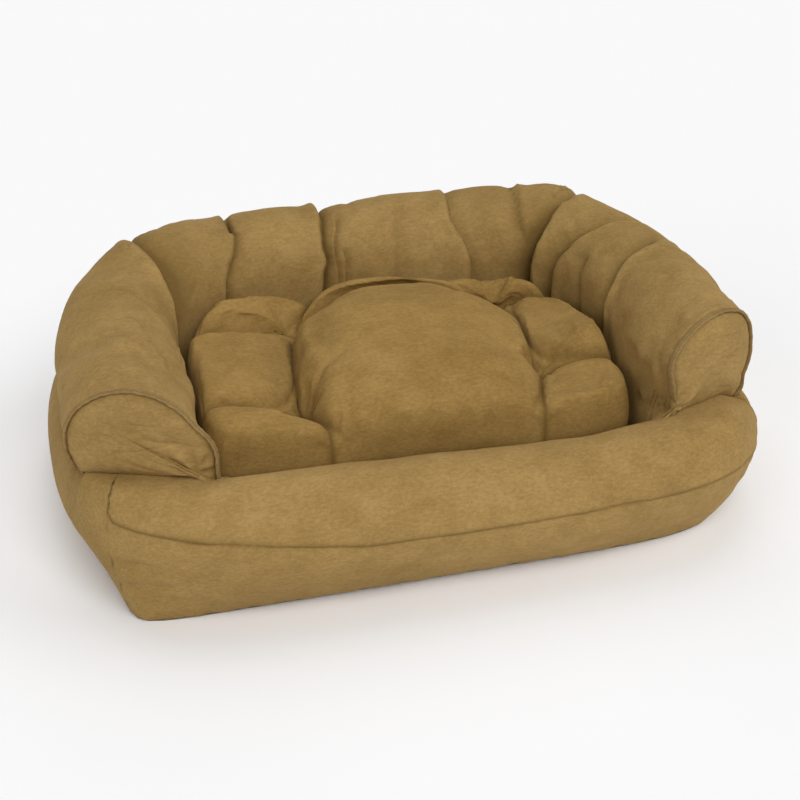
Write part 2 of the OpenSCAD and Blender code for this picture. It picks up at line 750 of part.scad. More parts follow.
module zip_slider() {
    post_w = chain_slot - 2 * zip_gap;
    post_l = slider_l * 0.3;
    color(nickel) {
        for (z = [-zip_gap - slider_t, plate_z])
            translate([-slider_l / 2, -slider_w / 2, z])
                cube([slider_l, slider_w, slider_t]);
        translate([slider_l / 2 - post_l, -post_w / 2, -zip_gap - slider_t])
            cube([post_l, post_w, plate_z + 2 * zip_gap + slider_t]);
        lugs();
    }
}
eye_r = pivot_r + pivot_fit + 0.8;
eye_w = slider_w - 2 * lug_t - 4 * zip_gap;
module lugs() {
    for (side = [0, 1])
        mirror([0, side, 0])
            translate([0, slider_w / 2 - lug_t, 0])
                difference() {
                    translate([-eye_r, 0, plate_z + slider_t / 2])
                        cube([2 * eye_r, lug_t, pivot_z + eye_r - plate_z - slider_t / 2]);
                    translate([-2 * eye_r, -lug_t, pivot_z + pivot_r + 0.6])
                        cube([4 * eye_r, 3 * lug_t, 2 * eye_r]);
                }
    translate([0, 0, pivot_z])
        rotate([90, 0, 0])
            cylinder(r = pivot_r, h = slider_w - lug_t, center = true, $fn = 32);
}
module zip_pull() {
    color(nickel)
        translate([0, 0, pivot_z])
            difference() {
                union() {
                    rotate([90, 0, 0])
                        cylinder(r = eye_r, h = eye_w, center = true, $fn = 32);
                    translate([-pull_l, -pull_w / 2, -tab_t / 2])
                        cube([pull_l - eye_r - 1, pull_w, tab_t]);
                    translate([-eye_r - 2, -eye_w / 2, -tab_t / 2])
                        cube([eye_r + 2, eye_w, tab_t]);
                }
                rotate([90, 0, 0])
                    cylinder(r = pivot_r + pivot_fit, h = 2 * eye_w, center = true, $fn = 32);
                translate([-pull_l + pull_w / 2, 0, 0])
                    cylinder(r = pull_w / 4, h = 4 * tab_t, center = true, $fn = 32);
            }
}

bottom_panel();
base_pad();
well_lining();
side_and_front_band();
back_upper_panel();
back_lower_panel();
front_rail_panel();
left_arm_sleeve();
right_arm_sleeve();
left_corner_sleeve();
right_corner_sleeve();
back_sleeve();
left_arm_cap();
right_arm_cap();
left_cap_welt();
right_cap_welt();
front_roll_fill();
left_wall_fill();
right_wall_fill();
back_wall_fill();
left_arm_fill();
right_arm_fill();
back_bolster_fill();
stand(zip_at) zip_tapes();  // cover_zip_tapes
stand(zip_at) zip_chain();  // cover_zip_chain
stand(zip_at) zip_stops();  // cover_zip_stops
stand(slider_at) zip_slider();  // cover_zip_slider
stand(slider_at) zip_pull();  // cover_zip_pull
cushion_top_cover();
cushion_bottom_cover();
cushion_centre_fill();
cushion_border_fills();
cushion_tuft_ties();
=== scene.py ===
import json
import bmesh
import bpy
import numpy as np
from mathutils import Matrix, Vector

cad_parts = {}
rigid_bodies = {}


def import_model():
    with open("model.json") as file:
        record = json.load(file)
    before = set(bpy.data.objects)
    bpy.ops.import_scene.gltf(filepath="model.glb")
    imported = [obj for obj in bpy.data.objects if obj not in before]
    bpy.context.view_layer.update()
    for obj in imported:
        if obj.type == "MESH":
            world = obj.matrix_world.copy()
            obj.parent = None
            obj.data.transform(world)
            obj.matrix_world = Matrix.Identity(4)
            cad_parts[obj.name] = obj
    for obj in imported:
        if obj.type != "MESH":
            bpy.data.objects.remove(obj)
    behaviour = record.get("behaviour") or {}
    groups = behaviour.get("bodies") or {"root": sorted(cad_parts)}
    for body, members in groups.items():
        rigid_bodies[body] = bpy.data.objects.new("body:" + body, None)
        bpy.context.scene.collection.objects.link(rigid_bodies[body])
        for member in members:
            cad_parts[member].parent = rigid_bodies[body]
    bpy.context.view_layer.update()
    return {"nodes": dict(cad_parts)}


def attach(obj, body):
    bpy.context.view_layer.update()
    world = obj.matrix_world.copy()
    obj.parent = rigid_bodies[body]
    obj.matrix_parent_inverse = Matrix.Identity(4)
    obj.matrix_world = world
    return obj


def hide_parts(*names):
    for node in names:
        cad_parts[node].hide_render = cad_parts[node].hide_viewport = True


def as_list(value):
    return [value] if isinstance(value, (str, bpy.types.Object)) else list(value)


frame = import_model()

scene = bpy.context.scene
MM = 0.001

# Sizes in millimetres and angles in degrees, the same as the model's
BODY_W, BODY_D, BODY_H = 1016.0, 770.0, 325.0
RAIL_H, RAIL_T, RAIL_END = 200.0, 134.0, 22.0
BULGE_H, FOOT_INSET, FULL_FORWARD = 120.0, 64.0, 47.0
FULL_N, FOOT_N, REAR_N = 4.2, 7.5, 3.2
BOLSTER_W, BOLSTER_RISE, PATH_FORWARD = 188.0, 86.0, 64.0
ARM_SETBACK, BACK_SETBACK, ARM_REACH = 6.0, 30.0, 253.0
BACK_N, ARM_N = 3.0, 5.2
CAP_TURN, CAP_PUFF, WAIST_ANGLE = 22.0, 16.0, 42.0
FABRIC, SEAM_GAP, PAD_H = 2.0, 0.3, 38.0
CUSHION_GAP, CUSHION_SEAM, CUSHION_DRAW, CUSHION_N = 3.0, 52.0, 6.0, 9.0
CENTRE_W, TUFT_SPAN, TUFT_BACK = 360.0, 235.0, 127.0
ZIP_VALLEY, ZIP_L = 10.0, 340.0

FULL_A, FULL_B = BODY_W / 2, BODY_D / 2
FRONT_B = FULL_B - FULL_FORWARD
REAR_B = FULL_B + FULL_FORWARD + 0.8 * ZIP_VALLEY
R = BOLSTER_W / 2
PATH_A = FULL_A - ARM_SETBACK - R
PATH_BACK = FULL_B - BACK_SETBACK - R
PATH_FRONT = 1.7 * ARM_REACH
BOLSTER_Z = BODY_H - BOLSTER_RISE
WAIST_Z = BOLSTER_Z - BOLSTER_RISE * np.sin(np.radians(WAIST_ANGLE))
END_Y = (ARM_REACH - PATH_FORWARD) / (PATH_FRONT - PATH_FORWARD)
ARM_END = -np.degrees(np.arctan((ARM_REACH - PATH_FORWARD) / (PATH_A * (1 - END_Y ** ARM_N) ** (1 / ARM_N))))
WELL_FLOOR = 2 * FABRIC + 3 * SEAM_GAP + PAD_H
WELL_FRONT = FULL_B - RAIL_T
WELL_BACK = PATH_BACK - R
TAPE_END = ZIP_L / 2 + 16
# The roll's cloth ends here round the base; its inner edge is narrower than the base by RAIL_TAPER
RAIL_FROM, RAIL_TO, RAIL_TAPER = 209.5, 360 - RAIL_END, 0.92
# How far the roll's inner edge draws back under the arms
RAIL_UNDER = 34.0
# A degree of the bolster's round side, along the cloth
ROUND = R * np.pi / 180


# ---------- numbers ----------
def cos(a):
    return np.cos(np.radians(a))


def sin(a):
    return np.sin(np.radians(a))


def mix(a, b, k):
    return a + (b - a) * k


def smooth(x):
    t = np.clip(x, 0, 1)
    return t * t * (3 - 2 * t)


def falloff(x, width, power=2):
    """1 at x = 0, and near nothing past the width."""
    return np.exp(-(x / width) ** power)


def spot(across, along, wide, long_):
    """A soft oval spot round across = along = 0."""
    return np.exp(-(across / wide) ** 2 - (along / long_) ** 2)


def unit(v):
    return v / np.maximum(np.linalg.norm(v, axis=-1, keepdims=True), 1e-9)


def at_height(p, z):
    """Points of the plan, lifted to a height."""
    z = np.asarray(z, float)[..., None]
    return np.concatenate([p, np.broadcast_to(z, p.shape[:-1] + (1,))], -1)


def lengths(P):
    """The way along a line of points, up to each of them."""
    return np.concatenate([[0], np.cumsum(np.linalg.norm(np.diff(P, axis=0), axis=1))])


def along(P, d, t):
    """The points at the ways t along a line, where d is the way up to each of its own points."""
    return np.stack([np.interp(t, d, P[:, k]) for k in range(P.shape[1])], -1)


def resampled(P, count):
    """The same line at count even steps."""
    d = lengths(P)
    return along(P, d, np.linspace(0, d[-1], count))


def even_steps(curve, first, last, count):
    """Angles from first to last at even steps along a curve, and the curve's length."""
    a = np.linspace(first, last, 4001)
    d = lengths(curve(a))
    return np.interp(np.linspace(0, d[-1], count), d, a), d[-1]


def polyline(points, step):
    """Points along smooth curves through the given ones, about a step apart."""
    P = np.asarray(points, float)
    P = np.concatenate([2 * P[:1] - P[1:2], P, 2 * P[-1:] - P[-2:-1]])
    out = []
    for a, b, c, d in zip(P[:-3], P[1:-2], P[2:-1], P[3:]):
        n = max(2, int(np.ceil(np.linalg.norm(c - b) / step)))
        t = (np.arange(n) / n)[:, None]
        out.append(0.5 * (2 * b + (c - a) * t + (2 * a - 5 * b + 4 * c - d) * t ** 2
                          + (3 * b - a - 3 * c + d) * t ** 3))
    return np.concatenate(out + [P[-2:-1]])


def wavy(x, seed, count=6):
    """A smooth irregular wave of x between about -1 and 1, the same on every run."""
    r = np.random.default_rng(seed)
    y = 0
    for i in range(count):
        y = y + np.sin(2 * np.pi * (x * (1 + i * 0.73) + r.random())) / (1 + 0.6 * i)
    return y / 2.2


def ripple(along_, off, amp, length, reach, seed):
    """Puckers beside a seam: along_ and off are the distances along it and from it."""
    return amp * wavy(along_ / length, seed, count=5) * falloff(off, reach, 1.1)


# ---------- plans and sections, as in the model ----------
def oval(a, b, n, ang):
    r = ((np.abs(cos(ang)) / a) ** n + (np.abs(sin(ang)) / b) ** n) ** (-1 / n)
    return np.stack([r * cos(ang), r * sin(ang)], -1)


def base_outline(inset, n, ang):
    rear = sin(ang) > 0
    b = np.where(rear, REAR_B, FRONT_B) - inset
    return oval(FULL_A - inset, b, np.where(rear, REAR_N, n), ang) - np.array([0, FULL_FORWARD])


def path_half(ang):
    return np.where(sin(ang) > 0, PATH_BACK + PATH_FORWARD, PATH_FRONT - PATH_FORWARD)


def path_n(ang):
    return np.where(sin(ang) > 0, BACK_N, ARM_N)


def path(ang):
    """The middle line of the bolster, in the plan."""
    return oval(PATH_A, path_half(ang), path_n(ang), ang) - np.array([0, PATH_FORWARD])


def across(ang):
    """The level direction out of the bolster, which turns toward the front at the arms' ends."""
    ang = np.asarray(ang, float)
    p = path(ang) + np.array([0, PATH_FORWARD])
    half = np.stack([PATH_A + 0 * ang, path_half(ang)], -1)
    normal = unit(np.sign(p) * (np.abs(p) / half) ** (path_n(ang)[..., None] - 1) / half)
    side = np.where(cos(ang) < 0, -1.0, 1.0)
    toward = np.where(cos(ang) < 0, 180 - ang, ang)
    turned = np.stack([side * cos(CAP_TURN), np.full_like(side, sin(CAP_TURN))], -1)
    share = smooth(1 - (toward - ARM_END) / 26)
    return unit(mix(normal, turned, share[..., None]))


def bolster_at(ang, x, z):
    """A point at x out from the bolster's middle line and at height z."""
    return at_height(path(ang) + across(ang) * np.asarray(x)[..., None], z)


# Where the stuffed base departs from the even model: how much, at which angle, and how wide
FLANK_OUT = ((8, 205, 10), (-5, 177, 15))
FOOT_OUT = ((8, 202, 14),)
FOOT_SHARPER = ((9, 208, 20), (-0.6, 328, 22))
FLANK_FULLER = ((0.7, 200, 26), (0.35, 328, 22))


def swells(ang, table):
    turn = np.mod(np.asarray(ang, float), 360)
    return sum(high * falloff(turn - middle, width) for high, middle, width in table)


def moved_out(p, ang, table):
    dx = swells(ang, table)
    return p + np.stack([dx, 0 * dx], -1)


def full_outline(ang):
    """The widest level: the left flank stands out, and its front corner is drawn in."""
    return moved_out(base_outline(0, FULL_N, ang), ang, FLANK_OUT)


def foot_outline(ang, inset=0):
    """The floor outline, with a sharp corner at the front left and a round one at the front right."""
    n = FOOT_N + swells(ang, FOOT_SHARPER)
    return moved_out(base_outline(FOOT_INSET + inset, n, ang), ang, FOOT_OUT)


def base_at(ang, z):
    """A point of the base's side, from the floor up to its widest level."""
    k = (np.maximum(BULGE_H - z, 0) / BULGE_H) ** (2 - swells(ang, FLANK_FULLER))
    k = np.where(z < BULGE_H, k, 0)[..., None]
    return at_height(mix(full_outline(ang), foot_outline(ang), k), z)


def side_at(ang, z):
    """A point of the base's side under the bolster, from the floor up to the bolster's waist."""
    w = bolster_at(ang, R * cos(WAIST_ANGLE) + 0 * ang, WAIST_Z)
    turn = np.degrees(np.arctan2(w[..., 1] + FULL_FORWARD, w[..., 0]))
    base = base_at(np.where(turn < -90, turn + 360, turn), np.minimum(z, BULGE_H))
    k = np.where(z > BULGE_H, ((z - BULGE_H) / (WAIST_Z - BULGE_H)) ** 2, 0)[..., None]
    return at_height(mix(base, w, k)[..., :2], z)


def notch():
    """The angle at which the arm's inner side reaches the roll."""
    low, high = ARM_END, 0.0
    for _ in range(40):
        m = (low + high) / 2
        if bolster_at(m, -R, 0)[1] < 6 - WELL_FRONT:
            low = m
        else:
            high = m
    return (low + high) / 2


NOTCH = notch()
RAIL_TIP = RAIL_TAPER * float(base_outline(0, FULL_N, -RAIL_END)[0])
WELL_EDGE = float(bolster_at(NOTCH, -R, 0)[0]) + 3 * FABRIC
# The roll's crest sinks right of its middle: how deep, where and how wide; and under each arm it is at these heights
CREST_SAG = (18, 150, 235)
CREST_LEFT, CREST_RIGHT = 197, (186, 24, 425, 55)


def under_share(x):
    """How far the roll is under an arm, from 0 in the open to 1 at its end."""
    return smooth((np.abs(x) - WELL_EDGE) / (RAIL_TIP - WELL_EDGE))


def crest(x):
    """Height of the front roll's top."""
    x = np.asarray(x, float)
    sag, at, wide = CREST_SAG
    high, drop, start, length = CREST_RIGHT
    right = high - drop * smooth((x - start) / length)
    return mix(RAIL_H - sag * falloff(x - at, wide), np.where(x < 0, CREST_LEFT, right),
               np.minimum(1, 2 * under_share(x)))


def level_share(x):
    """How level the roll's top runs on behind its crest: it does under the arms."""
    return 0.92 * smooth((np.abs(x) - WELL_EDGE + 12) / 24)


def rail_at(ang, turn):
    """A point of the roll: turn is the angle round its section, from the seam in front over the top."""
    outer = full_outline(ang)
    x = RAIL_TAPER * outer[..., 0]
    inner = np.stack([x, -WELL_FRONT + RAIL_UNDER * under_share(x)], -1)
    p = (outer + inner) / 2 + (outer - inner) / 2 * cos(turn)[..., None]
    flat = np.where(turn > 90, level_share(p[..., 0]), 0)
    return at_height(p, BULGE_H + (crest(p[..., 0]) - BULGE_H) * np.maximum(sin(turn), 0) ** (1 - flat))


def rail_top(x, y):
    """Height of the roll's top over a point of the plan."""
    outer = -FULL_FORWARD - FRONT_B * np.clip(1 - (np.abs(x) / FULL_A) ** FULL_N, 0, 1) ** (1 / FULL_N)
    inner = -WELL_FRONT + RAIL_UNDER * under_share(0.96 * x)
    c = np.clip((y - (outer + inner) / 2) / ((inner - outer) / 2), -1, 1)
    flat = np.where(c > 0, level_share(x), 0)
    return BULGE_H + (crest(x) - BULGE_H) * np.sqrt(1 - c * c) ** (1 - flat)


# ---------- meshes ----------
def normals(G):
    """Unit normals of a grid, along rows x columns."""
    return unit(np.cross(np.gradient(G, axis=0), np.gradient(G, axis=1)))


def mesh_object(name, verts, faces):
    """A smooth mesh from points in millimetres; faces is an array of quads, or a list of mixed faces."""
    me = bpy.data.meshes.new(name)
    verts = np.asarray(verts, np.float64) * MM
    if isinstance(faces, list):
        me.from_pydata(verts.tolist(), [], faces)
    else:
        me.vertices.add(len(verts))
        me.vertices.foreach_set("co", verts.astype(np.float32).ravel())
        n = faces.shape[1]
        me.loops.add(faces.size)
        me.loops.foreach_set("vertex_index", faces.astype(np.int32).ravel())
        me.polygons.add(len(faces))
        me.polygons.foreach_set("loop_start", np.arange(0, faces.size, n, dtype=np.int32))
        me.polygons.foreach_set("loop_total", np.full(len(faces), n, np.int32))
        me.update(calc_edges=True)
    me.polygons.foreach_set("use_smooth", np.ones(len(me.polygons), bool))
    me.validate()
    ob = bpy.data.objects.new(name, me)
    scene.collection.objects.link(ob)
    return ob


def set_hollow(ob, values):
    """Marks how deep in a seam or a tuck each point lies, for the material, which paints shade there."""
    at = ob.data.attributes.new("hollow", "FLOAT", "POINT")
    at.data.foreach_set("value", np.clip(values, 0, 1).astype(np.float32))


def outward_faces(ob):
    """Turns all faces to point out of a closed piece."""
    bm = bmesh.new()
    bm.from_mesh(ob.data)
    bmesh.ops.recalc_face_normals(bm, faces=bm.faces)
    bm.to_mesh(ob.data)
    bm.free()
    return ob


def grid_faces(rows, cols, wrap=False, start=0, flip=False):
    r = np.arange(rows - 1)[:, None] * cols
    c = np.arange(cols if wrap else cols - 1)[None, :]
    c2 = (c + 1) % cols
    f = np.stack([r + c, r + c2, r + cols + c2, r + cols + c], -1).reshape(-1, 4) + start
    return f[:, ::-1] if flip else f


CLOTH = 1.6


def cloth_piece(name, G, hollow=None, flip=False):
    """A closed piece of cloth: the grid is its outer face, and its inner face lies under it."""
    shape = G.shape[:2]
    n = shape[0] * shape[1]
    inner = G - normals(G) * (-CLOTH if flip else CLOTH)
    idx = np.arange(n).reshape(shape)
    loop = np.concatenate([idx[0, :], idx[1:, -1], idx[-1, -2::-1], idx[-2:0:-1, 0]])
    after = np.roll(loop, -1)
    rim = np.stack([after, loop, loop + n, after + n], -1)
    faces = [grid_faces(*shape, flip=flip), grid_faces(*shape, start=n, flip=not flip), rim[:, ::-1] if flip else rim]
    ob = mesh_object(name, np.concatenate([G.reshape(-1, 3), inner.reshape(-1, 3)]), np.concatenate(faces))
    ob.data.polygons.foreach_set("use_smooth", np.arange(len(ob.data.polygons)) < 2 * len(faces[0]))
    if hollow is not None:
        set_hollow(ob, np.tile(hollow.reshape(-1), 2))
    return ob


def ring_faces(K, n):
    """Faces over K rings of n points, with a point before the first ring and one after the last."""
    i = np.arange(n)
    j = (i + 1) % n
    end = 1 + (K - 1) * n
    parts = (grid_faces(K, n, wrap=True, start=1, flip=True), np.stack([1 + i, 1 + j, 0 * i], -1),
             np.stack([end + j, end + i, 0 * i + end + n], -1))
    return [f for part in parts for f in part.tolist()]


def ring_piece(name, loops, first, last, hollow=None):
    """A closed piece made of rings, with a point at each end."""
    loops = np.asarray(loops, float)
    verts = np.concatenate([[first], loops.reshape(-1, 3), [last]])
    ob = mesh_object(name, verts, ring_faces(*loops.shape[:2]))
    if hollow is not None:
        set_hollow(ob, np.concatenate([[hollow[0].mean()], hollow.reshape(-1), [hollow[-1].mean()]]))
    return outward_faces(ob)


def hemmed(G, hollow, inward, first=False, run_on=3.0):
    """Turns the cloth's edge in under the piece that it is sewn to: inward points into the stuffing."""
    edge, before = (G[:, 0], G[:, 1]) if first else (G[:, -1], G[:, -2])
    new = (edge + unit(edge - before) * run_on + inward * 8)[:, None]
    # the turned-in edge is painted in full shade
    dark = np.ones((len(G), 1))
    if first:
        return np.concatenate([new, G], 1), np.concatenate([dark, hollow], 1)
    return np.concatenate([G, new], 1), np.concatenate([hollow, dark], 1)


# ---------- cloth simulation ----------
def some_of(count, skip):
    """Every skip-th place of count, and always the last one."""
    i = np.arange(0, count, skip)
    return i if i[-1] == count - 1 else np.append(i, count - 1)


def drawn_out(D, at, count):
    """Values known at some rows, given at every row by straight lines."""
    r = np.arange(count)
    k = np.clip(np.searchsorted(at, r, side="right") - 1, 0, len(at) - 2)
    t = ((r - at[k]) / (at[k + 1] - at[k])).reshape((-1,) + (1,) * (D.ndim - 1))
    return D[k] * (1 - t) + D[k + 1] * t


def softened(D):
    P = np.pad(D, ((1, 1), (1, 1), (0, 0)), mode="edge")
    return (P[:-2, 1:-1] + P[2:, 1:-1] + P[1:-1, :-2] + P[1:-1, 2:] + 4 * D) / 8


SIM_FRAMES, SIM_SKIP, PIN_LEVELS = 20, 2, 20


def simulate(name, G, pins, cap, pressure, shrink, bend):
    """Blows the cloth up from inside while its seams hold it, and gives the grid with the change, cap at most."""
    rows, cols = some_of(G.shape[0], SIM_SKIP), some_of(G.shape[1], SIM_SKIP)
    C = G[rows][:, cols]
    held = np.clip(pins, 0, 1)[rows][:, cols].reshape(-1)
    ob = mesh_object(name + "_cloth", C.reshape(-1, 3), grid_faces(*C.shape[:2]))
    group = ob.vertex_groups.new(name="held")
    for level in range(1, PIN_LEVELS + 1):
        ids = np.where(np.round(held * PIN_LEVELS) == level)[0]
        if len(ids):
            group.add(ids.tolist(), level / PIN_LEVELS, "REPLACE")
    m = ob.modifiers.new("cloth", "CLOTH")
    settings = dict(quality=5, mass=0.2, tension_stiffness=15, compression_stiffness=15, shear_stiffness=5,
                    bending_stiffness=bend, use_pressure=True, uniform_pressure_force=pressure, shrink_min=shrink,
                    vertex_group_mass="held")
    for key, value in settings.items():
        setattr(m.settings, key, value)
    m.settings.effector_weights.gravity = 0
    m.collision_settings.use_collision = False
    m.collision_settings.use_self_collision = False
    m.point_cache.frame_start = 1
    m.point_cache.frame_end = SIM_FRAMES
    for f in range(1, SIM_FRAMES + 1):
        scene.frame_set(f)
    got = ob.evaluated_get(bpy.context.evaluated_depsgraph_get()).data
    co = np.empty(len(got.vertices) * 3, np.float32)
    got.vertices.foreach_get("co", co)
    D = co.reshape(C.shape).astype(float) / MM - C
    bpy.data.objects.remove(ob)
    scene.frame_set(1)
    size = np.linalg.norm(D, axis=-1, keepdims=True)
    D = softened(D * (cap * np.tanh(size / cap) / np.maximum(size, 1e-6)))
    print("cloth", name, C.shape, "moved", round(float(size.mean()), 2), "most", round(float(size.max()), 1))
    D = drawn_out(D, rows, G.shape[0])
    return G + np.swapaxes(drawn_out(np.swapaxes(D, 0, 1), cols, G.shape[1]), 0, 1)


# ---------- bolster ----------
def outward(ang, q):
    """The direction straight out of the plain bolster."""
    arc = np.minimum(q, 180)
    x, z = cos(arc) / R, sin(arc) / BOLSTER_RISE
    n = np.hypot(x, z)
    return np.concatenate([across(ang) * (x / n)[..., None], (z / n)[..., None]], -1)


# How far the stuffed roll rises over its plain section, and how far its outer side stands out: angles and distances
TOP_LIFT = np.array([(-25, 2), (-2, 2), (5, 5), (14, 0), (22, -3), (28, 0), (33, 6), (36.5, 16), (39, 17), (44, 12),
                     (50, 6), (58, 1), (66, -2), (72, -4), (80, -8), (88, -11), (96, -10), (100, -6), (108, -4),
                     (118, -3), (126, 0), (134, 1), (140, 4), (146, 4), (152, -2), (160, -5), (175, -2), (205, 0)])
SIDE_OUT = np.array([(-25, -13), (-14, -12), (-4, -5), (6, 0), (135, 0), (140, 4), (145, 0), (150, -7), (155, -10),
                     (165, -13), (172, -14), (180, -14), (188, -11), (196, -6), (205, -3)])


# The lower inner corners of the arms' front ends stand out in x and y: the left one is drawn out over the roll.
# They do so from this place round the section on, and over this much of the path.
FLARE_LEFT, FLARE_RIGHT = np.array([17, 13]), np.array([15, 0])
FLARE_FROM, FLARE_RISE, FLARE_TURN = 146, 46, 4.9


def flare(ang, q):
    k = smooth((q - FLARE_FROM) / FLARE_RISE)
    left = smooth(1 - (180 - ARM_END - ang) / FLARE_TURN) * k
    right = smooth(1 - (ang - ARM_END) / FLARE_TURN) * k
    return FLARE_LEFT * left[..., None] + FLARE_RIGHT * right[..., None]


def surface(ang, q):
    """A point of the stuffed bolster: q is the angle round its section, and over 180 it runs down to the well."""
    arc = np.minimum(q, 180)
    drop = np.maximum(q - 180, 0) * ROUND
    p = bolster_at(ang, R * cos(arc), BOLSTER_Z + BOLSTER_RISE * sin(arc) - drop)
    lift = np.interp(ang, *TOP_LIFT.T) * falloff(q - 80, 48)
    out = np.interp(ang, *SIDE_OUT.T) * smooth((q + WAIST_ANGLE) / 16)
    out = out * smooth((np.where(ang < 90, 66, 112) - q) / 60)
    p = p + outward(ang, q) * (lift + out)[..., None]
    p[..., :2] += flare(ang, q)
    return p


def even_angles(count):
    """Angles at even steps along the bolster."""
    return even_steps(path, ARM_END, 180 - ARM_END, count)[0]


# Sewn tucks, pleats and soft folds of the bolster: points (angle, place round the section, and share of the
# depth where it isn't full), then depth, width of the side that lies under, height and width of the side that
# lies over, and which side that is (+1 or -1)
FOLDS = {
    "left_deep": ([(139, -42, 0.3), (139.5, 0, 0.4), (140.5, 35, 0.5), (141.6, 57, 0.5), (143.8, 85, 0.5),
                   (145.5, 105, 0.6), (146.9, 119, 0.8), (148.6, 133), (150.6, 147), (153.5, 163), (156.8, 177),
                   (160, 200), (162, 250)], 21, 19, 6, 24, 1),
    "left_seam": ([(119, -42), (120, 10), (121, 45), (121.6, 70), (122.6, 103), (122.9, 117), (124.8, 137),
                   (127.4, 153), (129.4, 172), (130, 200), (130, 250)], 8, 9, 2, 12, 1),
    "left_dart": ([(120.6, 60), (121.6, 75), (122.6, 103), (122.5, 116)], 9, 8, 3, 9, -1),
    "mid_a": ([(96.5, -42), (97, 10), (97.6, 60), (98.3, 100), (99.4, 124), (99.8, 144), (99.4, 162),
               (100.3, 179), (101, 205), (101, 250)], 13, 9, 5, 18, 1),
    "mid_b": ([(94.2, 95), (95.0, 123), (96.3, 137), (96.7, 156), (96.4, 172), (96, 200)], 7, 5, 2, 5, 1),
    "mid_c": ([(94.6, 148), (94.2, 157), (94.0, 168), (94.1, 179), (94, 200)], 6, 5, 1, 6, 1),
    "soft_a": ([(77, 95), (77.7, 108), (79.1, 147), (79.9, 177), (80, 200)], 3.5, 14, 0.5, 12, 1),
    "soft_b": ([(62.5, -42), (62.5, 40), (62.5, 118), (61.5, 137), (59, 157), (57.4, 177), (57, 200), (57, 250)],
               5, 12, 1.5, 16, 1),
    "right_crease": ([(50, -42), (48.8, 20), (47.8, 60), (46.9, 85), (44.4, 122), (42.2, 146), (39.9, 160)],
                     8, 9, 3, 14, -1),
    "right_deep": ([(39, -42, 0.3), (37.2, 0, 0.3), (35.4, 35, 0.3), (34.6, 64, 0.3), (34.4, 86, 0.35),
                    (35.2, 103, 0.45), (35.9, 121, 0.7), (37, 138), (38.2, 154), (38.9, 171), (39.4, 190),
                    (39.4, 250)], 22, 12, 6, 22, -1),
    "right_knot": ([(36.6, 62), (37.4, 84), (37.4, 102)], 6, 4, 4, 5, 1),
    "right_c": ([(20.6, 40), (21, 70), (21.5, 91), (22.3, 115), (24.7, 137), (26.8, 154), (28.4, 168), (29.6, 190),
                 (30, 230)], 10, 14, 3, 18, -1),
    "right_d": ([(13, 30), (11.6, 50), (10.3, 69), (6.2, 96), (4.8, 114), (3.7, 125), (1, 148), (0.2, 164),
                 (-0.6, 180), (-1, 210), (-1, 250)], 12, 12, 4, 18, -1),
    "right_e": ([(15.3, 138), (14.8, 152), (14.1, 168), (12.4, 180), (12, 205)], 6.5, 8, 1.5, 10, -1),
    "left_a": ([(176, 100), (178.3, 114), (185.8, 123), (190.7, 137), (195.9, 144)], 3.2, 9, 1.4, 10, 1),
    "left_b": ([(178, 66), (181.1, 80), (186.2, 102), (189.6, 125)], 2.8, 9, 1.2, 10, 1),
    "left_c": ([(160, 78), (162.3, 92), (164.7, 117), (170.2, 142), (176, 160)], 3.8, 12, 1.4, 14, 1),
    "left_d": ([(171, 150), (178, 160), (186, 168), (192, 172)], 2.8, 9, 1.2, 9, 1),
    "right_knot_a": ([(-24.9, 196), (-22.5, 199), (-19.5, 204), (-17.5, 208)], 5, 3, 3, 5, 1),
    "right_knot_b": ([(-24.9, 203), (-22, 206), (-19, 211), (-16, 214)], 6, 3, 3, 5, 1),
    "right_f": ([(-8, 100), (-12, 116), (-14, 135)], 2, 9, 1, 9, 1),
    "outer_a": ([(160, 20), (163, 0), (165, -25), (166, -42)], 3, 10, 1.2, 12, 1),
    "outer_b": ([(188, 25), (190, 0), (189, -30), (189, -42)], 2.6, 10, 1.2, 12, -1),
    "outer_c": ([(8, 15), (10, -12), (10, -42)], 3, 10, 1.2, 12, 1),
    "outer_d": ([(70, 20), (71, -10), (71, -42)], 3.5, 12, 1.4, 14, 1),
    "outer_e": ([(108, 15), (109, -15), (109, -42)], 3, 11, 1.2, 13, -1),
}
# The folds that some columns of the bolster's cloth run along, and the numbers of columns between them
ANCHORS = ["right_d", "right_c", "right_deep", "soft_b", "mid_a", "left_seam", "left_deep"]
COLUMNS = (44, 40, 44, 44, 74, 60, 60, 74)
# A fold reaches this far at most, and fades out over this share of its length where it ends in the open cloth
FOLD_REACH, FOLD_FADE = 70, 0.16
# Weight of a fold's depth beside its place and angle, where its line is cut into even steps
DEPTH_WEIGHT = 40


def crowded(n, k):
    """n places from 0 up to, but without, 1: closer together near both ends."""
    t = np.linspace(0, 1, n + 1)[:-1]
    return t - k * np.sin(2 * np.pi * t) / (2 * np.pi)


def fold_line(points):
    """The fold's angle, place round the section and share of its depth, at close steps."""
    L = polyline([(p[0], p[1], DEPTH_WEIGHT * (p[2] if len(p) > 2 else 1)) for p in points], 1.5)
    return L / [1, 1, DEPTH_WEIGHT]


def columns(counts, q):
    """The angle of each column at the places q round the section, and which columns lie in the main folds."""
    lines = [ARM_END + 0 * q]
    for name in ANCHORS:
        L = fold_line(FOLDS[name][0])
        L = L[np.argsort(L[:, 1])]
        lines.append(np.interp(q, L[:, 1], L[:, 0]))
    lines.append(180 - ARM_END + 0 * q)
    cols, places = [], {}
    for name, n, a, b in zip(["start"] + ANCHORS, counts, lines[:-1], lines[1:]):
        places[name] = len(cols)
        cols += [mix(a, b, x) for x in crowded(n, 0.6)]
    places["end"] = len(cols)
    return np.array(cols + [lines[-1]]), places


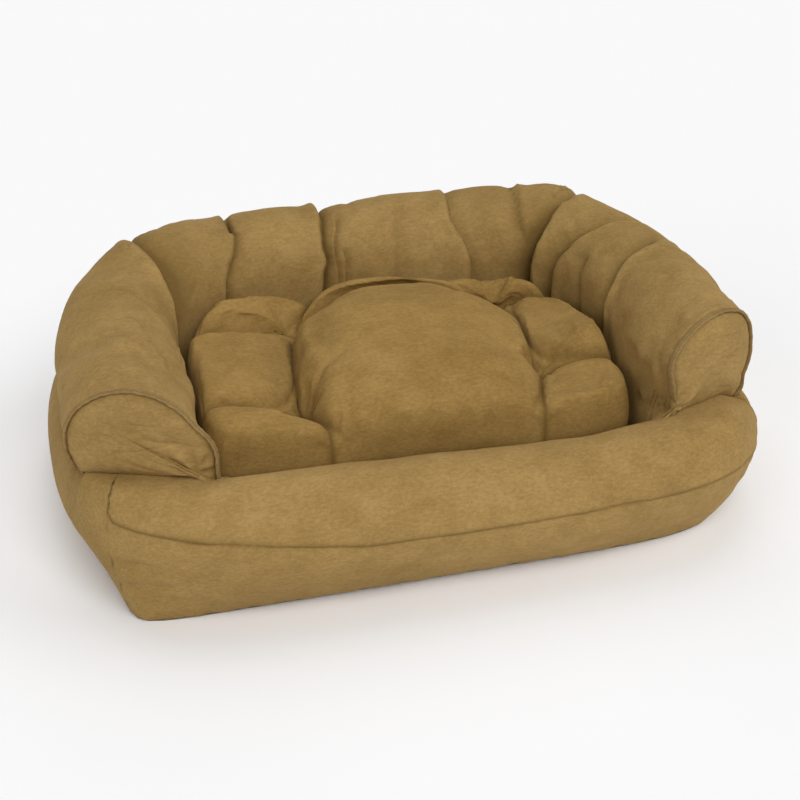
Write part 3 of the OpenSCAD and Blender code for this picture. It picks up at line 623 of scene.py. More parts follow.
def fold(G, ang, points, depth, under_w, lip, over_w, over):
    """How far each point of the grid moves out, for one fold."""
    track = fold_line(points)
    line = surface(track[:, 0], track[:, 1])
    flat = G.reshape(-1, 3)
    near = np.where(((flat > line.min(0) - FOLD_REACH) & (flat < line.max(0) + FOLD_REACH)).all(1))[0]
    P = flat[near]
    best, arg = np.full(len(P), 1e9), np.zeros(len(P), int)
    for i, point in enumerate(line):
        d = ((P - point) ** 2).sum(1)
        m = d < best
        best[m], arg[m] = d[m], i
    d = np.sqrt(best)
    fade = max(FOLD_FADE * len(line), 1)
    ends = smooth(arg / fade) if points[0][1] > 1 - WAIST_ANGLE else 1.0
    if points[-1][1] < 195:
        ends = ends * smooth((len(line) - 1 - arg) / fade)
    over_side = np.sign(ang.reshape(-1)[near] - track[arg, 0]) == over
    deep = depth * np.where(over_side, falloff(d, 0.28 * under_w, 1.2), falloff(d, under_w, 1.15))
    up = np.where(over_side, lip * falloff(d - 0.55 * over_w, 0.6 * over_w), 0)
    wide = 0.34 * depth * falloff(d, 2.6 * under_w + 16, 1.6)
    out = np.zeros(len(flat))
    out[near] = (up - deep - wide) * ends * track[arg, 2]
    return out.reshape(G.shape[:2])


def make_bolster():
    """The bolster's cover as one grid, from the right arm round to the left: columns x places round the section."""
    arc = np.linspace(180, -WAIST_ANGLE, 92)
    down = np.linspace(0, 1, 26)[:-1]
    share = np.concatenate([down, np.ones(len(arc))])
    plain = np.concatenate([180 + 70 * (1 - down), arc])
    A, places = columns([int(n * (1)) for n in COLUMNS], plain)
    run = lengths(path(A[:, len(down) + len(arc) // 2]))[:, None]
    inner = bolster_at(A, -R + 0 * A, 0)
    low = np.where(inner[..., 1] > -WELL_FRONT, WELL_FLOOR + 1, rail_top(inner[..., 0], inner[..., 1]) - 2)
    Q = np.where(share < 1, 180 + (BOLSTER_Z - mix(low, BOLSTER_Z, share)) / ROUND, plain)
    G = surface(A, Q)
    N = outward(A, Q)
    D, hollow = np.zeros(Q.shape), np.zeros(Q.shape)
    # each fold moves the cloth, and its depth is kept for the painted shade in it
    for shape in FOLDS.values():
        f = fold(G, A, *shape)
        D += f
        hollow = np.maximum(hollow, np.clip(-f / 14, 0, 1))
    # loose cloth between the tucks, puckers at the seam to the base, and the turned-in end edges
    q_run, waist_off = (180 - Q) * ROUND, (Q + WAIST_ANGLE) * ROUND
    D += 1.6 * wavy(run / 330 + 0.1 * wavy(q_run / 240, 3), 4) * smooth((Q + WAIST_ANGLE) / 40)
    D += 0.9 * wavy(q_run / 120 + 0.6 * wavy(run / 210, 8), 5) * wavy(run / 260, 6)
    D += ripple(run, waist_off, 1.5, 62, 26, 11)
    D *= smooth((Q + WAIST_ANGLE) / 13)
    end = np.minimum(run, run[-1] - run)
    D += ripple(q_run, end, 0.9, 40, 20, 12) - 3.2 * falloff(end, 5.0, 1.5)
    D -= 2.6 * falloff(waist_off, 5.5, 1.5)
    # painted shade along the seam at the waist
    hollow = np.maximum(hollow, 0.7 * falloff(waist_off, 9, 1.5))
    D = np.where(Q > 165, np.minimum(D, mix(D, 0.6, smooth((Q - 165) / 15))), D)
    pins = falloff(np.minimum(end, waist_off), 9) + (Q > 181) + hollow
    G = simulate("bolster", G + N * D[..., None], pins, cap=5.0, pressure=1.6, shrink=-0.02, bend=0.4)
    return *hemmed(G, hollow, at_height(-across(A[:, -1]), 0)), places


def split_bolster(G, hollow, places):
    """Cuts the bolster at its seams, which lie in the folds, into the cover's pieces."""
    cuts = [places[name] for name in ("start", "right_deep", "soft_b", "left_seam", "left_deep", "end")]
    names = ["right_arm", "right_corner", "back", "left_corner", "left_arm"]
    return {name: cloth_piece("bolster_" + name, G[i:j + 1], hollow[i:j + 1], flip=True)
            for name, i, j in zip(names, cuts[:-1], cuts[1:])}


# ---------- seat cushion ----------
# Its half width, half depth, middle and seam height; then the channels between its fields, as places from -1 to 1
SEAT_A = PATH_A - R - CUSHION_GAP
SEAT_B = (WELL_FRONT + WELL_BACK) / 2 - CUSHION_GAP
SEAT_Y = (WELL_BACK - WELL_FRONT) / 2
SEAT_Z = WELL_FLOOR + CUSHION_SEAM
CU = CENTRE_W / 2 / SEAT_A
CB = TUFT_BACK / SEAT_B
CF = (TUFT_BACK - TUFT_SPAN) / SEAT_B


def wall_sight():
    """The well's walls from the cushion's middle: directions, how far the wall is in each, and its x at the front."""
    ang = np.linspace(NOTCH, 90, 1500)
    p = bolster_at(ang, -R - CUSHION_GAP + 0 * ang, 0)[:, :2] - np.array([0, SEAT_Y])
    return np.degrees(np.arctan2(p[:, 1], p[:, 0])), np.linalg.norm(p, axis=1), p[0, 0]


WALL_SIGHT, WALL_REACH, WALL_X = wall_sight()


def rim_reach(x, y):
    """How far the cushion reaches from its middle, in the direction x, y."""
    sight = np.degrees(np.arctan2(y, np.abs(x)))
    wall = np.where(sight < WALL_SIGHT[0], WALL_X / np.maximum(cos(sight), 1e-3),
                    np.interp(sight, WALL_SIGHT, WALL_REACH))
    front = np.where(y < 0, -sin(sight) / SEAT_B, 0)
    return (wall ** -CUSHION_N + front ** CUSHION_N) ** (-1 / CUSHION_N)


def seat_plan(u, v, inset=0.0):
    """A point of the even cushion's plan: u to the right and v to the back, both from -1 to 1."""
    s = np.maximum(np.maximum(np.abs(u), np.abs(v)), 1e-4)
    way = unit(np.stack([u * SEAT_A, v * SEAT_B + 1e-6], -1))
    drawn = CUSHION_DRAW * s ** 4 * (1 - (np.minimum(np.abs(u), np.abs(v)) / s) ** 4)
    d = s * rim_reach(way[..., 0], way[..., 1]) - drawn - inset * s ** 6
    return way * d[..., None] + np.array([0, SEAT_Y])


# How far the tufts and the front ends of the channels lie from the even plan: the filling has slid in its cover.
# Rows from the front to the back, each with its left and its right place.
SHIFTS = np.array([[[37, 0], [-12, 0]], [[14, -8], [18, 26]], [[40, 24], [48, 40]], [[30, 0], [30, 0]]], float)
SHIFT_ROWS = np.array([-1, CF, CB, 1])
BACK_ROW, BACK_BULGE = 2, 24.0
BACK_SLIDE = (0.29, -0.30)


def plan_shift(u, v):
    """How far a point of the cover has slid in the plan."""
    a = np.clip((u + CU) / (2 * CU), 0, 1)[..., None]
    bulge = np.concatenate([0 * a, BACK_BULGE * 4 * a ** 0.9 * (1 - a) ** 1.15], -1)

    def row(i):
        return mix(SHIFTS[i, 0], SHIFTS[i, 1], a) + bulge * (i == BACK_ROW)[..., None]

    i = np.clip(np.searchsorted(SHIFT_ROWS, v) - 1, 0, 2)
    t = smooth((v - SHIFT_ROWS[i]) / (SHIFT_ROWS[i + 1] - SHIFT_ROWS[i]))[..., None]
    fade = smooth((1 - np.abs(u)) / (1 - CU)) * np.where(v > CB, smooth((1 - v) / (1 - CB)), 1)
    return mix(row(i), row(i + 1), t) * fade[..., None]


def seat_at(u, v):
    """A point of the cushion's plan: the back ends of the two long channels lie nearer the middle."""
    left, right = BACK_SLIDE
    s = np.interp(u, [-1, -CU, CU, 1], [0, left, right, 0])
    return seat_plan(u + s * smooth((v - CB) / (1 - CB)), v) + plan_shift(u, v)


def even_corners(x, y):
    return 3.4


def centre_corners(x, y):
    """How square the middle field is: at the back, its right corner is round."""
    return mix(5, 2.6 + 2.4 * smooth(0.3 - x), smooth((y + 0.15) / 0.8))


# The blown-up fields: bounds in u and v, height of the cloth over the channels, how square the field is, the
# power of its section, and its height's share at the front, the growth to the back and the growth to the right
EVEN = (1, 0, 0)
PUFFS = [
    ((-1.7, -CU, CB, 1.42), 50, even_corners, 0.6, EVEN),
    ((-CU, CU, CB, 1.36), 44, even_corners, 0.6, EVEN),
    ((CU, 1.6, CB, 1.40), 40, even_corners, 0.6, EVEN),
    ((-1.7, -CU, CF, CB), 36, even_corners, 0.5, EVEN),
    ((CU, 1.7, CF, CB), 36, even_corners, 0.5, (1.1925, -0.55, 0)),
    ((-1.6, -CU, -1.25, CF), 31, even_corners, 0.5, EVEN),
    ((CU, 1.30, -1.25, CF), 13, even_corners, 0.5, EVEN),
    ((-CU, CU, -1.10, CB), 82, centre_corners, 0.6, (0.83, 0.34, -0.20)),
]
CHANNEL_TOP, TUFT_DEPTH, TUFT_WIDTH = 106.0, 30, 32
TUFTS = seat_at(np.array([-CU, -CU, CU, CU]), np.array([CF, CB, CF, CB]))


def seat_top(u, v, plan):
    """Height of the cushion's top before it is blown up."""
    edge = np.clip(1 - np.maximum(np.abs(u), np.abs(v)) ** 46, 0, None) ** 0.30
    top = CHANNEL_TOP + 0 * u
    for (u0, u1, v0, v1), high, corners, power, (share, backward, rightward) in PUFFS:
        x, y = (u - u0) / (u1 - u0) * 2 - 1, (v - v0) / (v1 - v0) * 2 - 1
        n = corners(x, y)
        r = (np.abs(x) ** n + np.abs(y) ** n) ** (1 / n)
        lean = share + backward * (y + 1) / 2 + rightward * u / CU
        top = top + high * lean * np.clip(1 - r ** 2.4, 0, 1) ** power
    for tuft in TUFTS:
        top = top - TUFT_DEPTH * falloff(np.linalg.norm(plan - tuft, axis=-1), TUFT_WIDTH, 1.6)
    sides = smooth((np.abs(u) - CU) / 0.32) * falloff(v - CF - 0.20, 0.30)
    return SEAT_Z + edge * (top + np.where(u > 0, 17, 13) * sides)


def stations(lines, counts):
    """Places from line to line, closer together near the lines."""
    return np.concatenate([mix(a, b, crowded(n, 0.62)) for a, b, n in zip(lines[:-1], lines[1:], counts)]
                          + [lines[-1:]])


# Dents in the cushion's top: place, width, length, direction and depth
DENTS = ((-262, -70, 9, 30, 75, 6), (-240, -40, 7, 34, 60, 4.5), (-275, 95, 8, 26, 20, 3),
         (268, 20, 8, 36, 120, 4.5), (262, -160, 7, 26, 60, 4))


def dents(G):
    total = 0
    for x, y, wide, long_, turn, deep in DENTS:
        dx, dy = G[..., 0] - x, G[..., 1] - y
        total = total + deep * spot(dy * cos(turn) - dx * sin(turn), dx * cos(turn) + dy * sin(turn), wide, long_)
    return total


def tuft_gathers(G):
    """Short radiating gathers round each tuft."""
    D = np.zeros(G.shape[:2])
    for i, tuft in enumerate(TUFTS):
        d = G[..., :2] - tuft
        r = np.linalg.norm(d, axis=-1)
        a = np.arctan2(d[..., 1], d[..., 0]) / (2 * np.pi)
        rays = np.sin(2 * np.pi * (a * 9 + 0.25 * wavy(a * 3 + r / 130, 31 + i)))
        D += 1.3 * rays * falloff(r - 18, 26) * smooth(r / 12)
    return G + normals(G) * D[..., None]


def make_cushion_top():
    """The cushion's top cover, as a grid along its fields."""
    u = stations([-1, -CU, CU, 1], ((66, 104, 66)))
    v = stations([-1, CF, CB, 1], ((60, 84, 60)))
    U, V = np.meshgrid(u, v, indexing="ij")
    m = np.maximum(np.abs(U), np.abs(V))
    middle = np.abs(U) < CU
    plan = seat_at(U, V)
    z = seat_top(U, V, plan)
    way = unit(plan - np.array([0, SEAT_Y]))
    G = at_height(plan + way * (2.2 * smooth((z - SEAT_Z) / 30) * smooth((m - 0.9) / 0.08))[..., None], z)
    # distances from the channels and from the rim
    du = np.abs(np.abs(U) - CU) * SEAT_A
    dv = np.minimum(np.abs(V - CB), np.where(middle, 999, np.abs(V - CF))) * SEAT_B
    line = np.minimum(du, dv)
    rim = (1 - m) * SEAT_B
    # soft lie of the cloth before it is blown up
    away = smooth(line / 55) * smooth(rim / 45)
    D = 2.4 * wavy(U * 1.3 + 0.5 * wavy(V * 1.1, 21), 22) * wavy(V * 1.2, 23) * away - dents(G) * away
    D += 1.7 * wavy(G[..., 0] / 62 + 0.3 * wavy(V * 2, 25), 26) * falloff(V + 0.98, 0.16) * (np.abs(U) < 0.8 * CU)
    pins = falloff(line, 4.0) + falloff(rim, 5.0) + 0.9 * ((V > CB) & middle)
    G = simulate("cushion", G + normals(G) * D[..., None], pins, cap=7, pressure=3.0, shrink=-0.035, bend=0.5)
    # the second value is the painted shade along the channels
    return tuft_gathers(G), falloff(line, 6.5, 1.3)


def make_cushion_bottom():
    """The cushion's lower cover: a level skin whose edge curves up to the seam."""
    ang = np.linspace(0, 360, 220, endpoint=False)
    q = np.stack([cos(ang), sin(ang)], -1)
    q = q / np.abs(q).max(-1, keepdims=True)
    bend = 0.9

    def ring(s, inset):
        """The skin's ring at s, from 0 in the middle to 1 at the seam, at this depth inside the cover."""
        size, drop = s, 1
        if s >= bend:
            k = (s - bend) / (1 - bend) * np.pi / 2
            size, drop = bend + (1 - bend) * np.sin(k), np.cos(k) ** 0.9
        return at_height(seat_plan(q[:, 0] * size, q[:, 1] * size, inset), SEAT_Z - drop * (CUSHION_SEAM - inset))

    steps = np.concatenate([np.linspace(0.08, 0.88, 12), np.linspace(bend, 1.0, 14)])
    loops = [ring(s, 0) for s in steps] + [ring(s * 0.995, FABRIC) for s in steps[::-1][::2]]
    return ring_piece("cushion_bottom", loops, [0, SEAT_Y, WELL_FLOOR], [0, SEAT_Y, WELL_FLOOR + FABRIC])


# ---------- base cover ----------
BASE_Z = FABRIC + SEAM_GAP
# The band and the back panels meet at these angles of the bolster
REAR_SEAM = 50.0


def rail_line(ang):
    return base_outline(0, FULL_N, ang)


def rail_span(count):
    """Angles at even steps along the roll, and how far along it each one is."""
    ang, total = even_steps(rail_line, RAIL_FROM, RAIL_TO, count)
    return ang, np.linspace(0, total, count)


def seam_turn(ang, run):
    """Where the roll's lower seam lies round its section: it climbs to the left end and turns up there."""
    t = np.interp(ang, [209, 212, 219, 225, 230, 240, 250, 262], [37, 35, 30, 22, 17, 9, 2, 0.3])
    k = np.clip(1 - run / 16.0, 0, 1)
    return t + 22 * (1 - np.sqrt(1 - k ** 2))


def into_base(P):
    """The level direction from the base's side to the inside."""
    half = np.array([FULL_A, FRONT_B])
    p = (P[..., :2] + np.array([0, FULL_FORWARD])) / half
    return at_height(-unit(np.sign(p) * np.abs(p) ** (FULL_N - 1) / half), 0)


def front_swell(G):
    """Soft unevenness of the stuffing, the same for the pieces that meet at the front's seams."""
    x, y, z = G[..., 0], G[..., 1], G[..., 2]
    D = 2.2 * wavy(x / 420 + 0.14 * wavy(z / 160, 41), 42) * smooth(z / 60)
    return D + 1.3 * wavy(z / 150 + 0.5 * wavy(x / 240, 52), 53) * wavy(x / 300 + y / 400, 54)


def make_rail():
    """The roll's cover: from its seam with the band over the top, and down behind the cushion to the well's floor."""
    cols, steps = 321, 8
    ang, run = rail_span(cols)
    first = seam_turn(ang, run)[:, None]
    T = first + (180 - first) * np.linspace(0, 1, 64)
    down = np.repeat(rail_at(ang, 180 + 0 * ang)[:, None], steps, 1)
    down[..., 2] = mix(WELL_FLOOR + 1, down[..., 2], np.linspace(1, 0, steps + 1)[1:])
    G = np.concatenate([rail_at(ang[:, None] + 0 * T, T), down], 1)
    # distances from the seam, over a section of about 62 mm radius and then down, and from the ends
    down_off = np.broadcast_to(195 + np.arange(1, steps + 1) * 9.0, (cols, steps))
    off = np.concatenate([np.radians(T - first) * 62, down_off], 1)
    run = run[:, None]
    end = np.minimum(run, run[-1] - run)
    D = front_swell(G)
    D += ripple(run, off, 0.9, 44, 16, 46) * smooth(off / 8) + ripple(off, end, 0.8, 30, 20, 47) * smooth(end / 8)
    D -= 1.3 * falloff(off, 2.2, 1.4) + 1.5 * falloff(end, 2.6, 1.4)
    # painted shade along the seam and at the ends
    hollow = 0.7 * falloff(np.minimum(off, end), 2.2, 1.4)
    return hemmed(G - normals(G) * D[..., None], hollow, into_base(G[:, 0]), first=True)


# The slack cloth under the roll's ends: angle of the place, direction of its x axis and slope of it, then the
# folds: height, and its place, lean and width along x and up
SLACK_Z = 112.0
SLACK = (
    (213.5, (0.75, -0.66, 0), 0.10, ((-6.5, 0, 0, 40, -4, 0, 10), (3.6, 4, 0, 36, -22, 0, 9),
                                     (-3.2, -10, 0, 26, -36, -0.4, 7), (2.4, 40, 0, 16, -8, 0.5, 8))),
    (329.0, (0.8, 0.6, 0), 0, ((-3.4, 12, 0.3, 5, -2, 0, 26), (-2.6, -14, 0.2, 5, -12, 0, 22))),
)


def slack_folds(G):
    D = 0
    for ang, way, slope, folds in SLACK:
        middle = base_at(np.array([ang]), np.array([SLACK_Z]))[0]
        x = (G - middle) @ unit(np.array(way))
        up = G[..., 2] - middle[2] - slope * x
        for high, at_x, x_lean, wide, at_up, up_lean, tall in folds:
            D = D + high * spot(x - at_x + x_lean * up, up - at_up + up_lean * x, wide, tall)
    return D


def make_band():
    """Side and front band: the right side from the rear seam forward, the front under its seam, and the left side."""
    rows = 56
    z_side = np.linspace(BASE_Z, WAIST_Z - SEAM_GAP, 60)
    z_base = np.linspace(BASE_Z, BULGE_H, 40)

    def side_column(a):
        return resampled(side_at(a + 0 * z_side, z_side), rows)

    def front_column(a, turn):
        """From the floor up over the widest level, and on round the roll as far as turn."""
        t = np.linspace(0, turn, 40)
        return resampled(np.concatenate([base_at(a + 0 * z_base, z_base), rail_at(a + 0 * t, t)[1:]]), rows)

    def between(first, last):
        return [mix(first, last, k) for k in (0.25, 0.5, 0.75)]

    side = even_angles(1201)
    side = np.append(side[side <= REAR_SEAM][::4], REAR_SEAM)
    right = [side_column(a) for a in side[::-1]]
    left = [side_column(180 - a) for a in side]
    # past its ends, the seam runs up round the roll under the arms
    ang, run = rail_span(281)
    way = np.concatenate([[RAIL_TO + 0.25], RAIL_TO + np.linspace(0.2, 0.02, 12), ang[::-1],
                          RAIL_FROM - np.linspace(0.02, 0.2, 10),
                          np.linspace(RAIL_FROM - 0.6, 180 + RAIL_END - 0.25, 14)])
    turns = np.concatenate([[172], np.linspace(165, 1.0, 12), seam_turn(ang, run)[::-1] - 0.2,
                            np.linspace(62, 165, 10), np.full(14, 172)])
    front = [front_column(a, t) for a, t in zip(way, turns)]
    G = np.array(right + between(right[-1], front[0]) + front + between(front[-1], left[0]) + left)
    X = lengths(G[:, 8])[:, None]
    Z = G[..., 2]
    off = np.array([lengths(column[::-1])[::-1] for column in G])
    D = front_swell(G)
    D += ripple(X, off, 0.9, 40, 15, 55) * smooth(off / 8) + ripple(X, Z, 1.6, 55, 16, 56)
    # the seam above, and the lower edge that turns under
    D -= 1.3 * falloff(off, 2.2, 1.4) + 3.0 * falloff(Z, 5, 1.2)
    D += slack_folds(G)
    # painted shade along the seam above, and towards the floor at the lower edge
    hollow = 0.7 * falloff(off, 2.2, 1.4) + 0.4 * falloff(Z, 9, 1)
    # the columns run clockwise, so the grid's normals point in, and it is the cloth's inner face
    return hemmed(G - normals(G) * D[..., None], hollow, into_base(G[:, -1]))


def valley(p):
    """How far the back is drawn in along the zip."""
    return ZIP_VALLEY * falloff(p[..., 2] - BULGE_H, 26) * smooth(1 + (TAPE_END + 26 - np.abs(p[..., 0])) / 80)


def make_back_panel(upper):
    """The upper or the lower panel of the back: they part at the zip, and meet past its ends."""
    ang = even_angles(901)
    ang = ang[(ang > REAR_SEAM + 0.4) & (ang < 180 - REAR_SEAM - 0.4)][::2]
    ang = np.concatenate([[REAR_SEAM + 0.1], ang, [180 - REAR_SEAM - 0.1]])
    x_mid = np.abs(side_at(ang, BULGE_H + 0 * ang)[:, 0])
    gap = (SEAM_GAP + 12.0 * smooth(1 + (TAPE_END + 3 - x_mid) / 25))[:, None]
    if upper:
        z = mix(BULGE_H + gap, WAIST_Z - SEAM_GAP, np.linspace(0, 1, 24))
    else:
        z = mix(BASE_Z, BULGE_H - gap, np.linspace(0, 1, 34))
    G = side_at(ang[:, None] + 0 * z, z)
    G[..., 1] -= valley(G)
    X = lengths(G[:, 0])[:, None]
    Z = G[..., 2]
    # distances from the zip and from the panel's other edge
    off, far = (Z - Z[:, :1], Z[:, -1:] - Z) if upper else (Z[:, -1:] - Z, Z)
    D = 1.6 * wavy(X / 300, 61 + upper) * np.clip(off / 30, 0, 1) * np.clip(far / 30, 0, 1)
    D += ripple(X, off, 0.8, 30, 11, 63 + upper) + ripple(X, far, 1.2, 46, 14, 65)
    D -= 1.6 * falloff(off, 3.0, 1.4) + (2.4 if upper else 4.0) * falloff(far, 5, 1.3)
    D = np.where(off < 14, np.minimum(D, 0.3), D)
    # painted shade along the zip and along the panel's other edge
    hollow = 0.6 * falloff(off, 4.0, 1) + 0.6 * falloff(far, 5.0, 1)
    into = into_base(G[:, 0 if upper else -1])
    G, hollow = hemmed(G + normals(G) * D[..., None], hollow, into, first=bool(upper), run_on=0)
    return hemmed(G, hollow, into) if upper else (G, hollow)


def make_zip_end(side):
    """A patch of cloth behind the zip's end, which closes the slit past its tapes."""
    ang = even_angles(901)
    ang = ang[(ang > 55) & (ang < 125)][::2]
    x = side * side_at(ang, BULGE_H + 0 * ang)[:, 0]
    ang = np.repeat(ang[(x > TAPE_END - 8) & (x < TAPE_END + 34)][:, None], 9, 1)
    G = side_at(ang, BULGE_H + 0 * ang)
    G[..., 1] -= valley(G) + 6.5
    G[..., 2] = BULGE_H + np.linspace(-17, 17, 9)
    return G


def flat_piece(name, inset, z):
    """A cloth cut to the base's outline, lying at the height z."""
    c = np.array([0, -FULL_FORWARD * 0.1])
    out = foot_outline(np.linspace(0, 360, 200, endpoint=False), inset) - c
    rings = [c + out * s for s in np.linspace(0, 1, 26)[1:] ** 0.85]
    top, low = z + FABRIC, z
    loops = [at_height(p, top) for p in rings] + [at_height(p, low) for p in rings[::-1]]
    return ring_piece(name, loops, [*c, top], [*c, low])


# ---------- arm ends ----------
# The way out of the right arm's end and the level way across it; the left arm's are mirrored
CAP_OUT = np.array([sin(CAP_TURN), -cos(CAP_TURN), 0.0])
CAP_WIDE = np.array([cos(CAP_TURN), sin(CAP_TURN), 0.0])
CAP_MIDDLE = bolster_at(np.array([ARM_END]), np.array([0.0]), (RAIL_H + 0.6 + BODY_H) / 2)[0]
# Where the end's slanting folds run together, left of its middle and under it
FAN = np.array([78, 58])


def mirrored(P, side):
    return P * [side, 1, 1]


def cap_rim(side, q):
    """Points of an arm's front edge, for the right arm, with the shape of this side's arm."""
    ang = ARM_END if side > 0 else 180 - ARM_END
    return mirrored(surface(ang + 0 * q, q), side)


def side_top(P, side):
    """Height of the roll's top under these points."""
    return rail_top(side * P[:, 0], P[:, 1])


def cap_q(side):
    """Where the cap's rim meets the roll, on its outer side, as a place round the section."""
    q = np.linspace(-5, -75, 281)
    P = cap_rim(side, q)
    return float(q[np.argmax(P[:, 2] < side_top(P, side))])


def cap_edge(side, count):
    """Even points round an arm's end, along its rim and back over the roll, and how far along each one is."""
    q = np.append(180 + 22, np.linspace(180, cap_q(side), 80))
    P = cap_rim(side, q)
    P[0, 2] = side_top(P[:1], side)[0] - 2
    x = np.linspace(R * cos(cap_q(side)), -R - 18, 26)[1:-1]
    under = bolster_at(ARM_END + 0 * x, x, 0)
    under[:, 2] = side_top(under, side) - 1
    loop = np.concatenate([P[1:], under, P[:2]])
    d = lengths(loop)
    t = np.linspace(0, d[-1], count, endpoint=False)
    return along(loop, d, t), t


def make_cap(side):
    """An arm's end panel: a puffed face with slanting folds, drawn in at its welt, and a plain inner face."""
    seed = 70 if side < 0 else 80
    edge, t = cap_edge(side, 168)
    rel = edge - CAP_MIDDLE
    # from the middle to the edge; the panel ends a little inside its rim
    sizes, inside = np.linspace(0, 1, 40)[1:], 0.985
    loops, hollow = [], []
    for s in sizes:
        p = rel * min(s, inside)
        x, z = p @ CAP_WIDE, p[:, 2]
        puff = CAP_PUFF * (1 - s ** 3.2) * (1 + 0.06 * wavy(x / 90, seed))
        lie = 1.3 * wavy(x / 80 + 0.6 * wavy(z / 70, seed + 1), seed + 2) * (1 - s ** 4)
        fx, fz = x + FAN[0], z + FAN[1]
        way = np.hypot(fx, fz)
        lie += 3.0 * np.sin(np.arctan2(fz, fx) * 7 + seed) * falloff(way, 50) * smooth(way / 18)
        lie -= 3.4 * spot(-fx * 0.85 + fz * 0.53 - 6, fx * 0.53 + fz * 0.85 - 60, 8, 46)
        lie += 1.0 * wavy(t / 26, seed + 4) * falloff(1 - s, 0.10, 1.2)
        out = SEAM_GAP + FABRIC + puff + lie - 3.0 * falloff(1 - s, 0.035, 1.3)
        loops.append(CAP_MIDDLE + p + CAP_OUT * np.maximum(out, 0.6)[:, None])
        # painted shade towards the rim, in the seam with the welt
        hollow.append(np.full(len(t), 0.8 * falloff(1 - s, 0.05, 1.3)))
    for s in sizes[::-1][::3]:
        loops.append(CAP_MIDDLE + rel * s * inside + CAP_OUT * (0.2 + 0.7 * CAP_PUFF * (1 - s ** 3.2)))
        hollow.append(np.zeros(len(t)))
    first = CAP_MIDDLE + CAP_OUT * (SEAM_GAP + FABRIC + CAP_PUFF)
    last = CAP_MIDDLE + CAP_OUT * 0.7 * CAP_PUFF
    return ring_piece("cap_left" if side < 0 else "cap_right", mirrored(np.array(loops), side),
                      mirrored(first, side), mirrored(last, side), np.array(hollow))


def welt_line(side):
    """The piped seam round an arm's end, with its way up and its run; its inner end lies on the roll as a flap."""
    low = 186.0
    if side < 0:
        q = np.linspace(186, 225, 157)
        P = cap_rim(side, q)
        low = float(q[np.argmax(P[:, 2] < side_top(P, side) + 3)])
    q = np.linspace(low, cap_q(side) + 3, 240)
    P = cap_rim(side, q)
    n = outward(ARM_END + 0 * q, q)
    run = lengths(P)
    P = P + CAP_OUT * 2.6 + n * (0.2 + 0.25 * np.sin(run / 2.3) + 0.4 * wavy(run / 40, 91))[:, None]
    k = np.linspace(1, 0, 26)[:-1, None]
    tip = P[:1] + k * np.array([-13.0, -7.0, -6.0] if side < 0 else [5.0, -6.0, -16.0])
    tip[:, 2] = np.maximum(tip[:, 2], side_top(tip, side) + 1.4)
    P = np.concatenate([tip, P])
    n = np.concatenate([mix(n[:1], np.array([-0.3, -0.1, 0.95]), k), n])
    return mirrored(P, side), mirrored(unit(n), side), lengths(P)


def ovals(line, w, h, wide, high, sides):
    """Rings round a line: w and h are the directions of their half widths wide and high."""
    a = np.arange(sides) * 360 / sides
    return (line[:, None] + w[:, None] * (wide[:, None] * cos(a))[..., None]
            + h[:, None] * (high[:, None] * sin(a))[..., None])


def make_welt(side, line, run):
    """The welt: an oval roll of cloth along its line, thinner at its ends."""
    wide = 4.8 + 0.35 * np.sin(run / 2.3 + 1.0) + 0.4 * wavy(run / 50, 93) + 2.2 * falloff(run - 30, 24)
    fade = np.minimum(1, np.minimum(run / 26, (run[-1] - run) / 10) + 0.2)
    out = np.broadcast_to(mirrored(CAP_OUT, side), line.shape)
    t = unit(np.gradient(line, axis=0))
    w = unit(out - (out * t).sum(-1, keepdims=True) * t)
    loops = ovals(line, w, np.cross(t, w), wide * fade, 2.5 * fade, 14)
    return ring_piece("welt_left" if side < 0 else "welt_right", loops, line[0], line[-1])


def stitches(name, line, up):
    """A row of short thread stitches that lie on a line."""
    pitch, length, sides = 4.2, 2.7, 6
    rise = np.array([-0.3, 0.25, 0.4, 0.25, -0.3])[:, None]
    radius = 0.42 * np.array([0.5, 0.95, 1, 0.95, 0.5])
    d = lengths(line)
    verts, faces = [], []
    for i, start in enumerate(np.arange(pitch, d[-1] - pitch, pitch)):
        t = start + np.linspace(0, length, len(rise))
        p, u = along(line, d, t), unit(along(up, d, t))
        way = unit(np.gradient(p, axis=0))
        c = p + u * rise
        loops = ovals(c, unit(np.cross(way, u)), u, radius, radius, sides)
        verts += [c[:1] - way[:1] * 0.15, loops.reshape(-1, 3), c[-1:] + way[-1:] * 0.15]
        count = len(rise) * sides + 2
        faces += [[k + i * count for k in face] for face in ring_faces(len(rise), sides)]
    return outward_faces(mesh_object(name, np.concatenate(verts), faces))


# ---------- materials ----------
def lin(*colour):
    """A colour given from 0 to 255, in linear light."""
    c = np.array(colour) / 255
    return tuple(np.where(c <= 0.04045, c / 12.92, ((c + 0.055) / 1.055) ** 2.4).tolist())


def shade(colour, k):
    return [c * k for c in colour]


